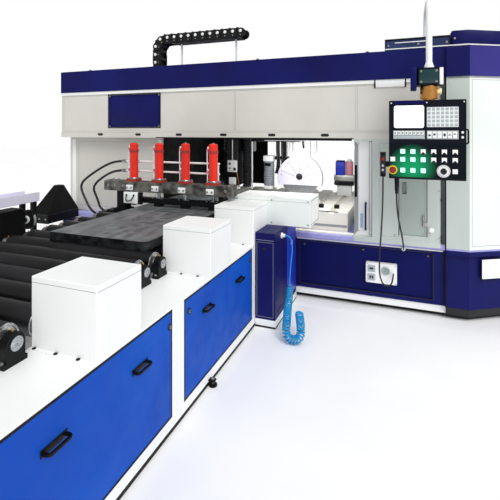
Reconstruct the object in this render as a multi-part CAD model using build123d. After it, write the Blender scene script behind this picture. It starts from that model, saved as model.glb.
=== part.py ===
from build123d import *
import os
from math import atan2, cos, degrees, pi, radians, sin, tan

# Plate sawing and milling machine: a roller conveyor carries a steel plate through a hydraulic
# clamp into an enclosed gantry machine with a circular saw and a milling spindle.
# All lengths are millimetres, +Z is up, +X runs along the machine's front from left to right and
# +Y runs into the machine. Places are written with x = 0 on the conveyor's operator side and
# y = 0 on the machine's front, and the finished parts are moved so that the origin lies at the
# bottom centre of the whole machine.

# Clearances
run_gap = 0.3          # between faces that slide or turn past each other
fit_gap = 0.05         # radial, between a shaft and its bore
seat_gap = 0.3         # between a piece that rests and a curved face below it

# Conveyor frame
rail_width = 331
rail_top = 625
rail_cap = 10
rail_front = -2945
far_rail_outer = -1650
far_rail_inner = -1520
beam_depth = 80
post_width = 118
end_post_width = 70
bottom_rail_low = 25
bottom_rail_high = 80
mid_post_y = -1775
front_post_y = -2885
end_post_y = -670
foot_radius = 38
foot_height = 12
foot_stud = 10

# Rollers
roller_radius = 62
roller_left = -1515
roller_right = -335
roller_axis_z = 705
roller_pitch = 165
roller_first_y = -2805
free_rollers = 8
plate_rollers = 5
feed_roller_y = -600
shaft_radius = 17.5
shaft_left = -1585
shaft_right = -250
bearing_width = 40
bearing_length = 100
bearing_base = 18
bearing_head = 40
bearing_right_x = -300
bearing_left_x = -1553

# Side panels of the conveyor
panel_sheet = 2
panel_fold = 28
panel_joint = 0.5
handle_length = 95
handle_z = 470
handle_bar = 11
handle_reach = 30
handle_inset = 262

# White covers on the rail
cover_top = 914
cover_sheet = 3
cover_flange = 16
cover_edge = 5
cover_1_front = -2364
cover_1_back = -2084
cover_2_front = -1405
cover_2_back = -1100
cover_3_front = -670
cover_3_back = -343
slot_margin = 6

# Gear motors under the covers
motor_radius = 54
motor_left = -205
motor_right = -22
gearbox_left = -274
gearbox_side = 110

# Gear motor outside the far rail, with a brake disc behind it
far_drive_left = -1800
far_drive_front = -1500
far_drive_back = -1260
far_drive_low = 560
far_drive_top = 890
far_motor_radius = 62
brake_x = -1705
brake_z = 802
brake_radius = 76
brake_front = -1205
brake_thickness = 22

# Steel plate
plate_left = -1155
plate_right = -385
plate_front = -1500
plate_back = 500
plate_thickness = 57
plate_corner = 45

# Cover at the machine's front and the cabinet below it
end_cover_left = -290
end_cover_right = 368
end_cover_low = 720
end_cover_top = 945
cabinet_width = 161
cabinet_depth = 635
cabinet_kick = 60

# Hold-down clamp
clamp_y = -442
clamp_beam_depth = 120
clamp_left = -1550
clamp_right = -254
clamp_beam_low = 950
clamp_beam_top = 1040
clamp_leg_width = 90
clamp_left_leg_x = -1370
clamp_right_leg_left = -379
clamp_right_leg_right = -334
cylinder_first_x = -1259
cylinder_pitch = 270
cylinder_count = 4
cylinder_radius = 37.5
cylinder_bore = 28
cylinder_top = 1390
cylinder_flange = 104
cylinder_flange_height = 22
rod_radius = 16
clamp_bar_width = 80
clamp_bar_height = 46
clamp_pad_height = 26
clamp_rest_gap = 0.5
manifold_radius = 9
manifold_low_z = 1126
manifold_high_z = 1215
manifold_left = -1395
manifold_right = -420
manifold_y = clamp_y + cylinder_radius + 26

# Machine housing
machine_left = -2580
machine_right = 1384
machine_depth = 1750
skirt_low = 40
skirt_top = 98
ledge_low = 545
ledge_top = 594
base_set_back = 25
base_inset = 60
base_seams = [-1240, 161]
recess_depth = 14
recess_low = 130
recess_high = 515
throat_left = -1317
throat_right = 662
pillar_front = 130
hood_low = 1430
hood_lip_top = 1485
hood_top = 1930
hood_wall = 40
band_top = 2165
band_proud = 6
edge_round = 14
drain_first_x = -2029
drain_pitch = 490
drain_count = 6
drain_z = 1463
drain_length = 72
drain_height = 26
drain_depth = 8
inset_left = -1920
inset_right = -1276
inset_low = 1541
inset_high = 1885
cap_left = 925
cap_right = 1413
cap_top = 2260
cap_depth = 420

# Work table in the throat, with a slot for the blade and the cutter
tool_y = 620
table_slot = 84
table_front = 110
table_back = 1500
table_margin = 60
table_rib = 60

# Gantry
gantry_front = 800
gantry_depth = 260
gantry_low = 1480
gantry_high = 1850
guide_height = 34
guide_reach = 26
guide_low_z = 1540
guide_high_z = 1780
carriage_thickness = 45
carriage_low = 1270
carriage_high = 1840

# Saw unit
saw_x = 45
saw_z = 1005
saw_carriage_width = 300
saw_head_width = 180
saw_head_thickness = 42
blade_radius = 210
blade_thickness = 5
blade_teeth = 40
tooth_height = 11
arbor_radius = 18
guard_radius = 240
guard_wall = 6
guard_half_width = 30
guard_open_below = 70
saw_motor_radius = 82
saw_motor_length = 250

# Milling unit
mill_x = -692
mill_carriage_width = 380
ram_width = 120
ram_depth = 130
ram_low = 905
ram_high = 1405
spindle_radius = 42
spindle_nose_low = 858
cutter_radius = 31
cutter_low = 838
cutter_flutes = 6
bellows_spacing = 232
bellows_radius = 52
bellows_low = 880
bellows_fold = 26
bellows_high = 1420

# Sliding door, its pocket and the hinged access door
front_sheet = 30
pocket_back = 92
door_left = 669
door_right = 1350
door_thickness = 36
door_low = 604
door_high = 1420
door_edge = 820
stile_width = 34
handle_left = 742
handle_right = 788
grip_low = 662
grip_high = 880
grip_thickness = 14
grip_clearance = 5
access_left = 1048.5
access_right = 1230
access_low = 647.5
access_high = 1412
access_thickness = 24
access_gap = 3
pull_depth = 12
latch_x = 1278
latch_z = 706
latch_radius = 20
hinge_radius = 7
hinge_pin = 3.5
hinge_knuckle = 60
hinge_heights = [760, 1260]

# Right-hand module
module_right = 2200
module_cap_front = 460
module_cap_top = 2290
module_cap_gap = 20
module_cap_inset = 60
module_cap_round = 20
module_front = -20
module_corner = 1550
module_turn = 30
module_seam = 2
module_base_top = 570
module_ledge_low = 520

# Hopper at the front left
hopper_left = -2560
hopper_right = -2330
hopper_front = -420
hopper_low = 550
hopper_rim = 640
hopper_top = 920
hopper_neck = 70
hopper_lean = 45

# Energy chain on the roof
chain_left = -1661
chain_right = -593
chain_y = 600
chain_run_z = 2575
chain_bend = 105
chain_height = 104
chain_width = 150
chain_pitch = 92
chain_plate = 8
chain_bar = 12
post_side = 18

# Hanging control panel
arm_x = 1246
arm_y = -300
arm_radius = 22
arm_top = 2480
arm_back = 180
arm_bend = 110
swivel_low = 1832
swivel_high = 1962
swivel_width = 170
swivel_depth = 120
neck_radius = 62
console_left = 967
console_right = 1486
console_low = 1145
console_high = 1726
console_front = -350
console_back = -250
console_round = 8
screen_left = 31
screen_width = 217
screen_low = 1518
screen_height = 175
screen_depth = 6
keypad_left = 262
keypad_width = 207
keypad_low = 1529
keypad_height = 144
keypad_columns = 7
keypad_rows = 5
strip_low = 1441
strip_height = 62
button_column = 70
button_first = 27
button_side = 34
button_rise = 5
row_1_z = 1349
row_2_z = 1290
row_3_z = 1210
stop_radius = 20
stop_stem = 10
stop_travel = 4
stop_stem_length = 12
knob_column = 345
knob_radius = 38
knob_rise = 14
pendant_width = 40
pendant_low = 1155
pendant_high = 1340
pendant_gap = 24
pendant_link_low = 1230
pendant_link_high = 1270
gland_radius = 17
gland_length = 120
gland_x = 1020

# Cables from the panel, and the socket box on the base
cable_radius = 6
socket_left = 770
socket_right = 1017
socket_low = 227
socket_high = 394
socket_depth = 40

# Air hose on the side cabinet
fitting_radius = 14
lead_radius = 5
coil_radius = 32

# Hydraulic hoses, and the block on the far rail that they end in
hose_radius = 11
hose_block_width = 60
hose_block_front = -460
hose_block_back = -250
hose_block_top = 735

# Values that follow from the sizes above
roller_top = roller_axis_z + roller_radius
plate_low = roller_top + seat_gap
plate_top = plate_low + plate_thickness
roller_count = free_rollers + plate_rollers
roller_ys = [roller_first_y + i * roller_pitch for i in range(roller_count)] + [feed_roller_y]
driven_ys = [roller_ys[4], roller_ys[9], feed_roller_y]
covers = [
    (cover_1_front, cover_1_back),
    (cover_2_front, cover_2_back),
    (cover_3_front, cover_3_back),
]
cylinder_xs = [cylinder_first_x + i * cylinder_pitch for i in range(cylinder_count)]
clamp_front = clamp_y - clamp_beam_depth / 2
clamp_back = clamp_y + clamp_beam_depth / 2
table_top = roller_top
module_slope = tan(radians(module_turn))
chain_start_z = band_top + chain_height / 2 + run_gap
origin_x = (hopper_left + module_right) / 2
origin_y = (rail_front + machine_depth) / 2


def block(x0, x1, y0, y1, z0, z1):
    """A box between two corners."""
    return Pos((x0 + x1) / 2, (y0 + y1) / 2, (z0 + z1) / 2) * Box(x1 - x0, y1 - y0, z1 - z0)


def rod_x(x0, x1, y, z, radius):
    return Pos((x0 + x1) / 2, y, z) * Rot(0, 90, 0) * Cylinder(radius, x1 - x0)


def rod_y(x, y0, y1, z, radius):
    return Pos(x, (y0 + y1) / 2, z) * Rot(90, 0, 0) * Cylinder(radius, y1 - y0)


def rod_z(x, y, z0, z1, radius):
    return Pos(x, y, (z0 + z1) / 2) * Cylinder(radius, z1 - z0)


def upright_edges(solid):
    return solid.edges().filter_by(Axis.Z)


def save(name, *pieces):
    """Write the pieces' solids as one sub-part, moved to the machine's origin."""
    place = Pos(-origin_x, -origin_y, 0)
    solids = [place * solid for piece in pieces for solid in piece.solids()]
    shape = solids[0] if len(solids) == 1 else Compound(children=solids)
    export_step(shape, f"parts/{name}.step")


# The conveyor's frames

def post_places():
    """Each post's front and back face, from the conveyor's free end to the machine."""
    return [
        (front_post_y - post_width / 2, front_post_y + post_width / 2),
        (mid_post_y - post_width / 2, mid_post_y + post_width / 2),
        (end_post_y - end_post_width / 2, end_post_y + end_post_width / 2),
    ]


def frame_side(outer, inner, back):
    """A wide rail on posts, with a bottom rail on each side of the posts."""
    left, right = min(outer, inner), max(outer, inner)
    wide = min(beam_depth, (right - left) / 2)
    frame = block(left, right, rail_front, back, rail_top - rail_cap, rail_top)
    frame += block(left, right, rail_front, back, rail_top - beam_depth, rail_top - rail_cap)
    frame -= block(
        left + rail_cap, right - rail_cap, rail_front + rail_cap, back - rail_cap,
        rail_top - beam_depth, rail_top - rail_cap,
    )
    for front, rear in post_places():
        frame += block(left, right, front, rear, bottom_rail_high, rail_top - rail_cap)
    for edge in (left, right - wide):
        frame += block(edge, edge + wide, rail_front, back, bottom_rail_low, bottom_rail_high)
    return frame


def panel_bays():
    """The two bays that the blue panels close, from front to back."""
    posts = post_places()
    return [(posts[0][1], posts[1][0]), (posts[1][1], posts[2][0])]


def frame_right():
    """Operator-side frame: the lower lip of the rail is cut back where the panels hang."""
    frame = frame_side(0, -rail_width, 0)
    for front, back in panel_bays():
        frame -= block(-rail_cap - 1, 0, front, back, rail_top - beam_depth - 1, rail_top - rail_cap)
    return frame


def side_panel(front, back):
    """A folded sheet with returns on its four edges."""
    outer = block(
        -panel_fold, 0, front + panel_joint, back - panel_joint,
        bottom_rail_high + panel_joint, rail_top - rail_cap - panel_joint,
    )
    inner = block(
        -panel_fold - 1, -panel_sheet, front + panel_joint + panel_sheet,
        back - panel_joint - panel_sheet, bottom_rail_high + panel_joint + panel_sheet,
        rail_top - rail_cap - panel_joint - panel_sheet,
    )
    return outer - inner


def pull_handle(y):
    """A bar handle: two feet and a bar bent in one piece."""
    half = handle_length / 2
    path = FilletPolyline(
        (0, y - half, handle_z), (handle_reach, y - half, handle_z),
        (handle_reach, y + half, handle_z), (0, y + half, handle_z), radius=handle_bar,
    )
    section = Plane(origin=(0, y - half, handle_z), z_dir=(1, 0, 0)) * RectangleRounded(
        handle_bar, handle_bar, handle_bar / 4
    )
    return sweep(section, path=path)


def handle_places():
    places = []
    for front, back in panel_bays():
        places += [front + handle_inset, back - handle_inset]
    return places


def cross_beams():
    """Tubes that tie the two frames together at the posts."""
    beams = []
    for front, rear in post_places():
        middle = (front + rear) / 2
        beam = block(far_rail_inner, -rail_width, middle - 30, middle + 30, 300, 400)
        bore = block(far_rail_inner, -rail_width, middle - 25, middle + 25, 305, 395)
        beams.append(beam - bore)
    return beams


def foot(x, y):
    """A levelling foot: a round pad with a threaded stud."""
    pad = Pos(x, y, 0) * Cone(
        foot_radius, foot_radius * 0.6, foot_height, align=(Align.CENTER, Align.CENTER, Align.MIN)
    )
    return pad + rod_z(x, y, foot_height, bottom_rail_low, foot_stud)


def levelling_feet():
    feet = []
    for front, rear in post_places():
        middle = (front + rear) / 2
        for x in (-beam_depth / 2, -rail_width + beam_depth / 2,
                  far_rail_inner - (far_rail_inner - far_rail_outer) / 4,
                  far_rail_outer + (far_rail_inner - far_rail_outer) / 4):
            feet.append(foot(x, middle))
    return feet


# Rollers, bearings and drives

def roller(y, driven):
    """A tube with end discs on a through shaft; a driven shaft reaches into its gearbox."""
    right = gearbox_left + 60 if driven else shaft_right - 25
    body = rod_x(roller_left, roller_right, y, roller_axis_z, roller_radius)
    body = chamfer(body.edges().filter_by(GeomType.CIRCLE), 3)
    recess = roller_radius - 9
    for end in (roller_left, roller_right):
        low, high = (end, end + 6) if end == roller_left else (end - 6, end)
        body -= rod_x(low, high, y, roller_axis_z, recess)
    return body + rod_x(shaft_left, right, y, roller_axis_z, shaft_radius)


def pillow_block(x, y):
    """A bearing housing with two feet, a rounded head and the shaft's bore."""
    half = bearing_width / 2
    head = rod_x(x - half, x + half, y, roller_axis_z, bearing_head)
    web = block(x - half, x + half, y - bearing_head, y + bearing_head, rail_top + bearing_base / 2,
                roller_axis_z)
    feet = block(x - half, x + half, y - bearing_length / 2, y + bearing_length / 2, rail_top,
                 rail_top + bearing_base)
    bore = rod_x(x - half, x + half, y, roller_axis_z, shaft_radius + fit_gap)
    return head + web + feet - bore


def drive_cover(front, back):
    """A folded white cover, open below and slotted on its inner side for the roller shafts."""
    outer = block(-rail_width, 0, front, back, rail_top, cover_top)
    outer = fillet(upright_edges(outer), cover_edge)
    outer = chamfer(outer.faces().sort_by(Axis.Z)[-1].edges(), cover_edge / 2)
    inner = block(
        -rail_width + cover_sheet, -cover_sheet, front + cover_sheet, back - cover_sheet,
        rail_top, cover_top - cover_sheet - 1,
    )
    cover = outer - inner
    slot = shaft_radius + slot_margin
    for y in roller_ys:
        if front < y + slot and y - slot < back:
            low = max(y - slot, front + cover_sheet)
            high = min(y + slot, back - cover_sheet)
            cover -= block(-rail_width - 1, -rail_width + cover_sheet + 1, low, high, rail_top,
                           roller_axis_z + slot)
    flange = block(-rail_width, 0, front - cover_flange, front, rail_top, rail_top + cover_sheet)
    return cover + flange


def gear_motor(y):
    """A hollow-shaft gearbox on the roller's shaft, with a flanged motor."""
    half = gearbox_side / 2
    box = block(gearbox_left, motor_left, y - half, y + half, rail_top, roller_axis_z + half)
    box = fillet(box.edges().filter_by(Axis.X), 10)
    motor = rod_x(motor_left, motor_right, y, roller_axis_z, motor_radius)
    motor = fillet(motor.faces().sort_by(Axis.X)[-1].edges(), 8)
    bore = rod_x(gearbox_left, gearbox_left + 62, y, roller_axis_z, shaft_radius + fit_gap)
    return box + motor - bore


def far_drive():
    """The gear motor outside the far rail: a box with a lid, a motor and a brake disc."""
    box = block(far_drive_left, far_rail_outer, far_drive_front, far_drive_back, far_drive_low,
                far_drive_top)
    box = fillet(upright_edges(box), 12)
    box += block(far_drive_left + 12, far_rail_outer - 12, far_drive_front + 12, far_drive_back - 12,
                 far_drive_top, far_drive_top + 14)
    motor_x = (far_drive_left + far_rail_outer) / 2
    box += rod_y(motor_x, far_drive_front - 150, far_drive_front, far_drive_low + 100, far_motor_radius)
    shaft = rod_y(brake_x, far_drive_back, brake_front, brake_z, shaft_radius)
    disc = rod_y(brake_x, brake_front, brake_front + brake_thickness, brake_z, brake_radius)
    hub = rod_y(brake_x, brake_front - 12, brake_front + brake_thickness + 12, brake_z, brake_radius * 0.4)
    return box + shaft + disc + hub


def workpiece():
    """The steel plate, with its near right corner torch-cut round."""
    plate = block(plate_left, plate_right, plate_front, plate_back, plate_low, plate_top)
    corner = upright_edges(plate).group_by(Axis.Y)[0].sort_by(Axis.X)[-1]
    return fillet(corner, plate_corner)


def end_cover():
    """The larger cover that bridges the conveyor's end and the side cabinet."""
    outer = block(end_cover_left, end_cover_right, cover_3_back, 0, end_cover_low, end_cover_top)
    outer = fillet(upright_edges(outer), cover_edge)
    outer += block(end_cover_left, 0, cover_3_back, 0, rail_top, end_cover_low + cover_edge)
    inner = block(
        end_cover_left + cover_sheet, end_cover_right - cover_sheet, cover_3_back + cover_sheet,
        -cover_sheet, end_cover_low, end_cover_top - cover_sheet,
    )
    inner += block(
        end_cover_left + cover_sheet, -cover_sheet, cover_3_back + cover_sheet, -cover_sheet,
        rail_top, end_cover_low,
    )
    return outer - inner


def side_cabinet():
    """A closed control cabinet with a kick recess and a shallow door on its right side."""
    body = block(0, cabinet_width, -cabinet_depth, 0, 0, end_cover_low)
    body = fillet(body.edges().filter_by(Axis.Z).sort_by(Axis.Y)[:2], 6)
    body -= block(cabinet_width - 12, cabinet_width, -cabinet_depth, 0, 0, cabinet_kick)
    door = block(cabinet_width - 3, cabinet_width, -cabinet_depth + 40, -60, 110, 640)
    groove = block(cabinet_width - 3, cabinet_width, -cabinet_depth + 46, -66, 116, 634)
    return body - (door - groove)


# Hold-down clamp

def clamp_portal():
    """A welded portal: base beam between the rails, two legs and the beam over the plate."""
    beam = block(clamp_left, clamp_right, clamp_front, clamp_back, clamp_beam_low, clamp_beam_top)
    beam = chamfer(beam.edges().filter_by(Axis.X), 5)
    base = block(far_rail_inner, -rail_width, clamp_front, clamp_back, 660, table_top)
    leg_left = clamp_left_leg_x - clamp_leg_width / 2
    leg = block(leg_left, leg_left + clamp_leg_width, clamp_front + 15, clamp_back - 15, table_top,
                clamp_beam_low)
    leg_foot = block(leg_left - 25, leg_left + clamp_leg_width + 25, clamp_front, clamp_back, table_top,
                     table_top + 24)
    near_leg = block(clamp_right_leg_left, clamp_right_leg_right, clamp_front + 15, clamp_back - 15,
                     table_top, clamp_beam_low)
    portal = beam + base + leg + leg_foot + near_leg
    for low, high in ((far_rail_inner, far_rail_inner + 14), (-rail_width - 14, -rail_width)):
        portal += block(low, high, clamp_front, clamp_back, rail_top - beam_depth + 5, table_top)
    for x in cylinder_xs:
        portal -= rod_z(x, clamp_y, clamp_beam_low, clamp_beam_top, rod_radius + fit_gap)
    return portal


def clamp_cylinder(x):
    """A hollow hydraulic cylinder on a square flange, with a domed cap and two ports."""
    base_top = clamp_beam_top + cylinder_flange_height
    half = cylinder_flange / 2
    flange = block(x - half, x + half, clamp_y - half, clamp_y + half, clamp_beam_top, base_top)
    flange = fillet(upright_edges(flange), 10)
    barrel = rod_z(x, clamp_y, base_top, cylinder_top, cylinder_radius)
    barrel = fillet(barrel.faces().sort_by(Axis.Z)[-1].edges(), 16)
    collar = rod_z(x, clamp_y, cylinder_top - 82, cylinder_top - 60, cylinder_radius + 5)
    body = flange + barrel + collar
    for z in (manifold_low_z, manifold_high_z):
        body += rod_y(x, clamp_y, manifold_y - manifold_radius - run_gap, z, 8)
    body -= rod_z(x, clamp_y, base_top, cylinder_top - 30, cylinder_bore)
    return body - rod_z(x, clamp_y, clamp_beam_top, base_top, rod_radius + fit_gap)


def clamp_bar():
    """The bar that presses on the plate, with a rod, a piston and two pads for each cylinder."""
    low = plate_top + clamp_rest_gap
    bar_low = low + clamp_pad_height
    bar_top = bar_low + clamp_bar_height
    half = clamp_bar_width / 2
    left = clamp_left_leg_x + clamp_leg_width / 2 + 20
    bar = block(left, clamp_right_leg_left - 16, clamp_y - half, clamp_y + half, bar_low, bar_top)
    bar = chamfer(bar.edges().filter_by(Axis.X), 6)
    for x in cylinder_xs:
        piston_low = clamp_beam_top + cylinder_flange_height + 8
        bar += rod_z(x, clamp_y, bar_top, piston_low, rod_radius)
        bar += rod_z(x, clamp_y, piston_low, piston_low + 40, cylinder_bore - fit_gap)
        bar += rod_z(x, clamp_y, bar_top, bar_top + 8, rod_radius + 14)
        reach = min(x, clamp_right_leg_left - 16 - 34)
        bar += block(reach - 32, reach + 32, clamp_y - half + 6, clamp_y + half - 6, low, bar_low)
    return bar


def manifold_pipes():
    """Two supply pipes behind the cylinders, held to the beam by three clips each."""
    pipes = []
    for z in (manifold_low_z, manifold_high_z):
        pipes.append(rod_x(manifold_left, manifold_right, manifold_y, z, manifold_radius))
    stand = block(manifold_left + 30, manifold_left + 46, manifold_y - 6, manifold_y + 6,
                  clamp_beam_top, manifold_high_z)
    other = block(manifold_right - 24, manifold_right - 8, manifold_y - 6, manifold_y + 6,
                  clamp_beam_top, manifold_high_z)
    hose_block = block(far_rail_outer, far_rail_outer + hose_block_width, hose_block_front, hose_block_back,
                       rail_top, hose_block_top)
    return [pipes[0] + pipes[1] + stand + other, hose_block]


# Machine housing

def machine_base():
    """The base: front with inset panels, a rounded ledge, skirting, plinth and the work table."""
    body = block(machine_left, machine_right, base_set_back, machine_depth, skirt_top, ledge_low)
    ledge = block(machine_left, machine_right, 0, machine_depth, ledge_low, ledge_top)
    ledge = fillet(ledge.edges().filter_by(Axis.X).group_by(Axis.Y)[0], 12)
    skirt = block(machine_left + 10, machine_right, base_set_back + 8, machine_depth - 8, skirt_low,
                  skirt_top)
    plinth = block(machine_left + 60, machine_right - 1, base_set_back + 60, machine_depth - 60, 0,
                   skirt_low)
    edges = [machine_left + base_inset, *base_seams, machine_right - base_inset]
    for left, right in zip(edges[:-1], edges[1:]):
        body -= block(left + 30, right - 30, base_set_back, base_set_back + recess_depth, recess_low,
                      recess_high)
    base = body + ledge + skirt + plinth
    base += block(throat_left, throat_right, front_sheet, pocket_back, ledge_top, door_low - run_gap)
    left, right = throat_left + table_margin, throat_right - table_margin
    for front, back in ((table_front, tool_y - table_slot / 2), (tool_y + table_slot / 2, table_back)):
        base += block(left, right, front, back, ledge_top, table_top)
    rib_x = left + table_rib
    while rib_x + table_rib < right:
        base -= block(rib_x, rib_x + table_rib, table_front, table_back, table_top - 22, table_top)
        rib_x += 3 * table_rib
    return base


def left_pillar():
    pillar = block(machine_left, throat_left, pillar_front, machine_depth, ledge_top, hood_low)
    return fillet(upright_edges(pillar).group_by(Axis.Y)[0], edge_round)


def right_column():
    """The column right of the throat: a front sheet, the door's pocket and the closed rear."""
    column = block(throat_right, machine_right, 0, machine_depth, ledge_top, hood_low)
    low, high = door_low - run_gap, door_high + run_gap
    column -= block(throat_right, door_right + 10, front_sheet, pocket_back, low, high)
    column -= block(throat_right, door_edge, 0, front_sheet, low, high)
    column -= block(access_left - access_gap, access_right + access_gap, 0, front_sheet,
                    access_low - access_gap, access_high + access_gap)
    column += rod_y(latch_x, -14, 0, latch_z, latch_radius * 0.5)
    knob = rod_y(latch_x, -32, -14, latch_z, latch_radius)
    column += fillet(knob.faces().sort_by(Axis.Y)[0].edges(), 6)
    x, y = hinge_axis()
    for z in hinge_heights:
        low = z - hinge_knuckle / 2 - run_gap
        column += rod_z(x, y, low, z - run_gap, hinge_radius)
        column += block(x, access_right + access_gap + 14, y - 2, 0, low, z - run_gap)
        column += rod_z(x, y, z - run_gap, z + hinge_knuckle + 4, hinge_pin)
    return column


def upper_enclosure():
    """The hood over the throat, open below between the pillars, with a lower lip and an inset."""
    hood = block(machine_left, machine_right, 8, machine_depth, hood_low, hood_top)
    hood += block(machine_left, machine_right, 0, machine_depth, hood_low, hood_lip_top)
    hood += block(machine_left, machine_right, 0, machine_depth, hood_top - 30, hood_top)
    hood -= block(throat_left, throat_right, hood_wall, machine_depth - hood_wall, hood_low,
                  hood_top - hood_wall)
    hood -= block(inset_left, inset_right, 8, 16, inset_low, inset_high)
    for i in range(drain_count):
        drain = Plane(origin=(drain_first_x + i * drain_pitch, 0, drain_z), z_dir=(0, 1, 0),
                      x_dir=(1, 0, 0)) * SlotOverall(drain_length, drain_height)
        hood -= extrude(drain, drain_depth)
    return hood


def top_band():
    """The navy band around the top, which also crowns the right-hand module."""
    slope = (module_right - module_corner) * module_slope
    outline = Polyline(
        (machine_left, -band_proud), (machine_right, -band_proud), (machine_right, module_front - band_proud),
        (module_corner, module_front - band_proud), (module_right, module_front - band_proud + slope),
        (module_right, machine_depth), (machine_left, machine_depth), close=True,
    )
    band = extrude(Plane.XY.offset(hood_top) * make_face(outline), band_top - hood_top)
    front = band.edges().filter_by(Axis.X).group_by(Axis.Z)[-1].sort_by(Axis.Y)[0]
    return fillet(front, edge_round)


def roof_fittings():
    """Light caps on the roof, and the post and tray that carry the energy chain."""
    cap = block(cap_left, cap_right, 10, cap_depth, band_top, cap_top)
    cap = fillet(cap.edges().filter_by(Axis.X).group_by(Axis.Z)[-1], 20)
    module_cap = block(cap_right + module_cap_gap, module_right - module_cap_inset, module_cap_front,
                       machine_depth - module_cap_inset, band_top, module_cap_top)
    module_cap = fillet(module_cap.edges().filter_by(Axis.X).group_by(Axis.Z)[-1], module_cap_round)
    tray_top = chain_run_z - chain_height / 2 - run_gap
    half = chain_width / 2
    tray = block(chain_left + 230, chain_right, chain_y - half, chain_y + half, tray_top - 6, tray_top)
    for x in (chain_left + 290, chain_right - 90):
        tray += block(x, x + post_side, chain_y - post_side / 2, chain_y + post_side / 2, band_top,
                      tray_top - 6)
    return [cap, module_cap, tray]


def module_outline(inset):
    """Plan of the right-hand module: its front turns back past the corner."""
    slope = (module_right - module_corner) * module_slope
    return Polyline(
        (machine_right + module_seam, module_front + inset), (module_corner, module_front + inset),
        (module_right - inset, module_front + inset + slope), (module_right - inset, machine_depth - inset),
        (machine_right + module_seam, machine_depth - inset), close=True,
    )


def module_layer(inset, low, high):
    return extrude(Plane.XY.offset(low) * make_face(module_outline(inset)), high - low)


def right_base():
    """Base of the right-hand module, with the same ledge, skirting and plinth as the machine."""
    base = module_layer(25, skirt_top, module_ledge_low)
    ledge = module_layer(0, module_ledge_low, module_base_top)
    ledge = fillet(ledge.faces().sort_by(Axis.Z)[-1].edges().sort_by(Axis.Y)[:2], 12)
    return base + ledge + module_layer(33, skirt_low, skirt_top) + module_layer(85, 0, skirt_low)


def right_body():
    """Cream body of the right-hand module, with a reveal under the band."""
    body = module_layer(4, module_base_top, hood_top - 16)
    body = fillet(upright_edges(body).sort_by(Axis.Y)[1], edge_round)
    return body + module_layer(16, hood_top - 16, hood_top)


def hopper():
    """A black sheet hopper cover, a pyramid over a square skirt, fixed to the machine's front."""
    width = hopper_right - hopper_left
    depth = -hopper_front
    middle_x = (hopper_left + hopper_right) / 2
    middle_y = hopper_front / 2
    low = Plane.XY.offset(hopper_rim) * Pos(middle_x, middle_y) * Rectangle(width, depth)
    high = Plane.XY.offset(hopper_top) * Pos(middle_x + hopper_lean, middle_y) * Rectangle(hopper_neck, hopper_neck)
    return loft([low, high]) + block(hopper_left, hopper_right, hopper_front, 0, hopper_low, hopper_rim)


# Gantry and tool units

def guide_rail(z):
    """A profiled guide rail on the gantry's front, with an undercut on both sides."""
    half = guide_height / 2
    neck = half * 0.6
    back = gantry_front
    front = gantry_front - guide_reach
    rail = block(throat_left + 50, throat_right - 50, front, back, z - half, z + half)
    for side in (-1, 1):
        low, high = sorted((z + side * neck, z + side * half))
        rail -= block(throat_left + 50, throat_right - 50, front + 10, back - 6, low, high)
    return rail


def gantry_beam():
    """A box beam across the hood, with two guide rails for the tool carriages."""
    left, right = throat_left, throat_right
    beam = block(left, right, gantry_front, gantry_front + gantry_depth, gantry_low, gantry_high)
    beam -= block(left, right, gantry_front + 25, gantry_front + gantry_depth - 25, gantry_low + 25,
                  gantry_high - 25)
    for x in range(1, 4):
        rib_x = left + x * (right - left) / 4
        beam += block(rib_x - 8, rib_x + 8, gantry_front + 25, gantry_front + gantry_depth - 25,
                      gantry_low + 25, gantry_high - 25)
    return beam + guide_rail(guide_low_z) + guide_rail(guide_high_z)


def carriage_plate(x, width):
    """A carriage plate with four runners that grip the guide rails."""
    half = width / 2
    front = gantry_front - guide_reach - carriage_thickness
    back = gantry_front - guide_reach - run_gap
    plate = block(x - half, x + half, front, back, carriage_low, carriage_high)
    plate = fillet(plate.edges().filter_by(Axis.Y), 16)
    reach = guide_reach * 0.55
    for z in (guide_low_z, guide_high_z):
        for side in (-1, 1):
            start = x + side * (half - 55)
            low = z - guide_height / 2 - 22
            high = z + guide_height / 2 + 22
            runner = block(start - 45, start + 45, back, back + reach, low, high)
            gap = guide_height / 2 + run_gap
            runner -= block(start - 45, start + 45, back, back + reach, z - gap, z + gap)
            plate += runner
    return plate, front


def bellows(x, y, low, high, radius):
    """A round bellows with a straight core and sharp folds."""
    folds = int((high - low) // bellows_fold)
    step = (high - low) / folds
    points = [(0, low)]
    for i in range(folds):
        points += [(radius * 0.78, low + i * step), (radius, low + (i + 0.5) * step)]
    points += [(radius * 0.78, high), (0, high)]
    return Pos(x, y, 0) * revolve(Plane.XZ * make_face(Polyline(*points, close=True)), Axis.Z)


def saw_carriage():
    plate, front = carriage_plate(saw_x, saw_carriage_width)
    for side in (-1, 1):
        x = saw_x + side * (saw_head_width / 2 + 14)
        low, high = sorted((x, x + side * 26))
        plate += block(low, high, front - 30, front, carriage_low, hood_low + 340)
    cover_x = saw_x - saw_carriage_width / 2 - bellows_radius - 4
    plate += bellows(cover_x, front + 20, bellows_low + 120, bellows_high, bellows_radius * 0.8)
    bracket = block(cover_x - 20, saw_x - saw_carriage_width / 2 + 20, front, front + 40, bellows_high,
                    bellows_high + 40)
    return plate + bracket, front


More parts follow.
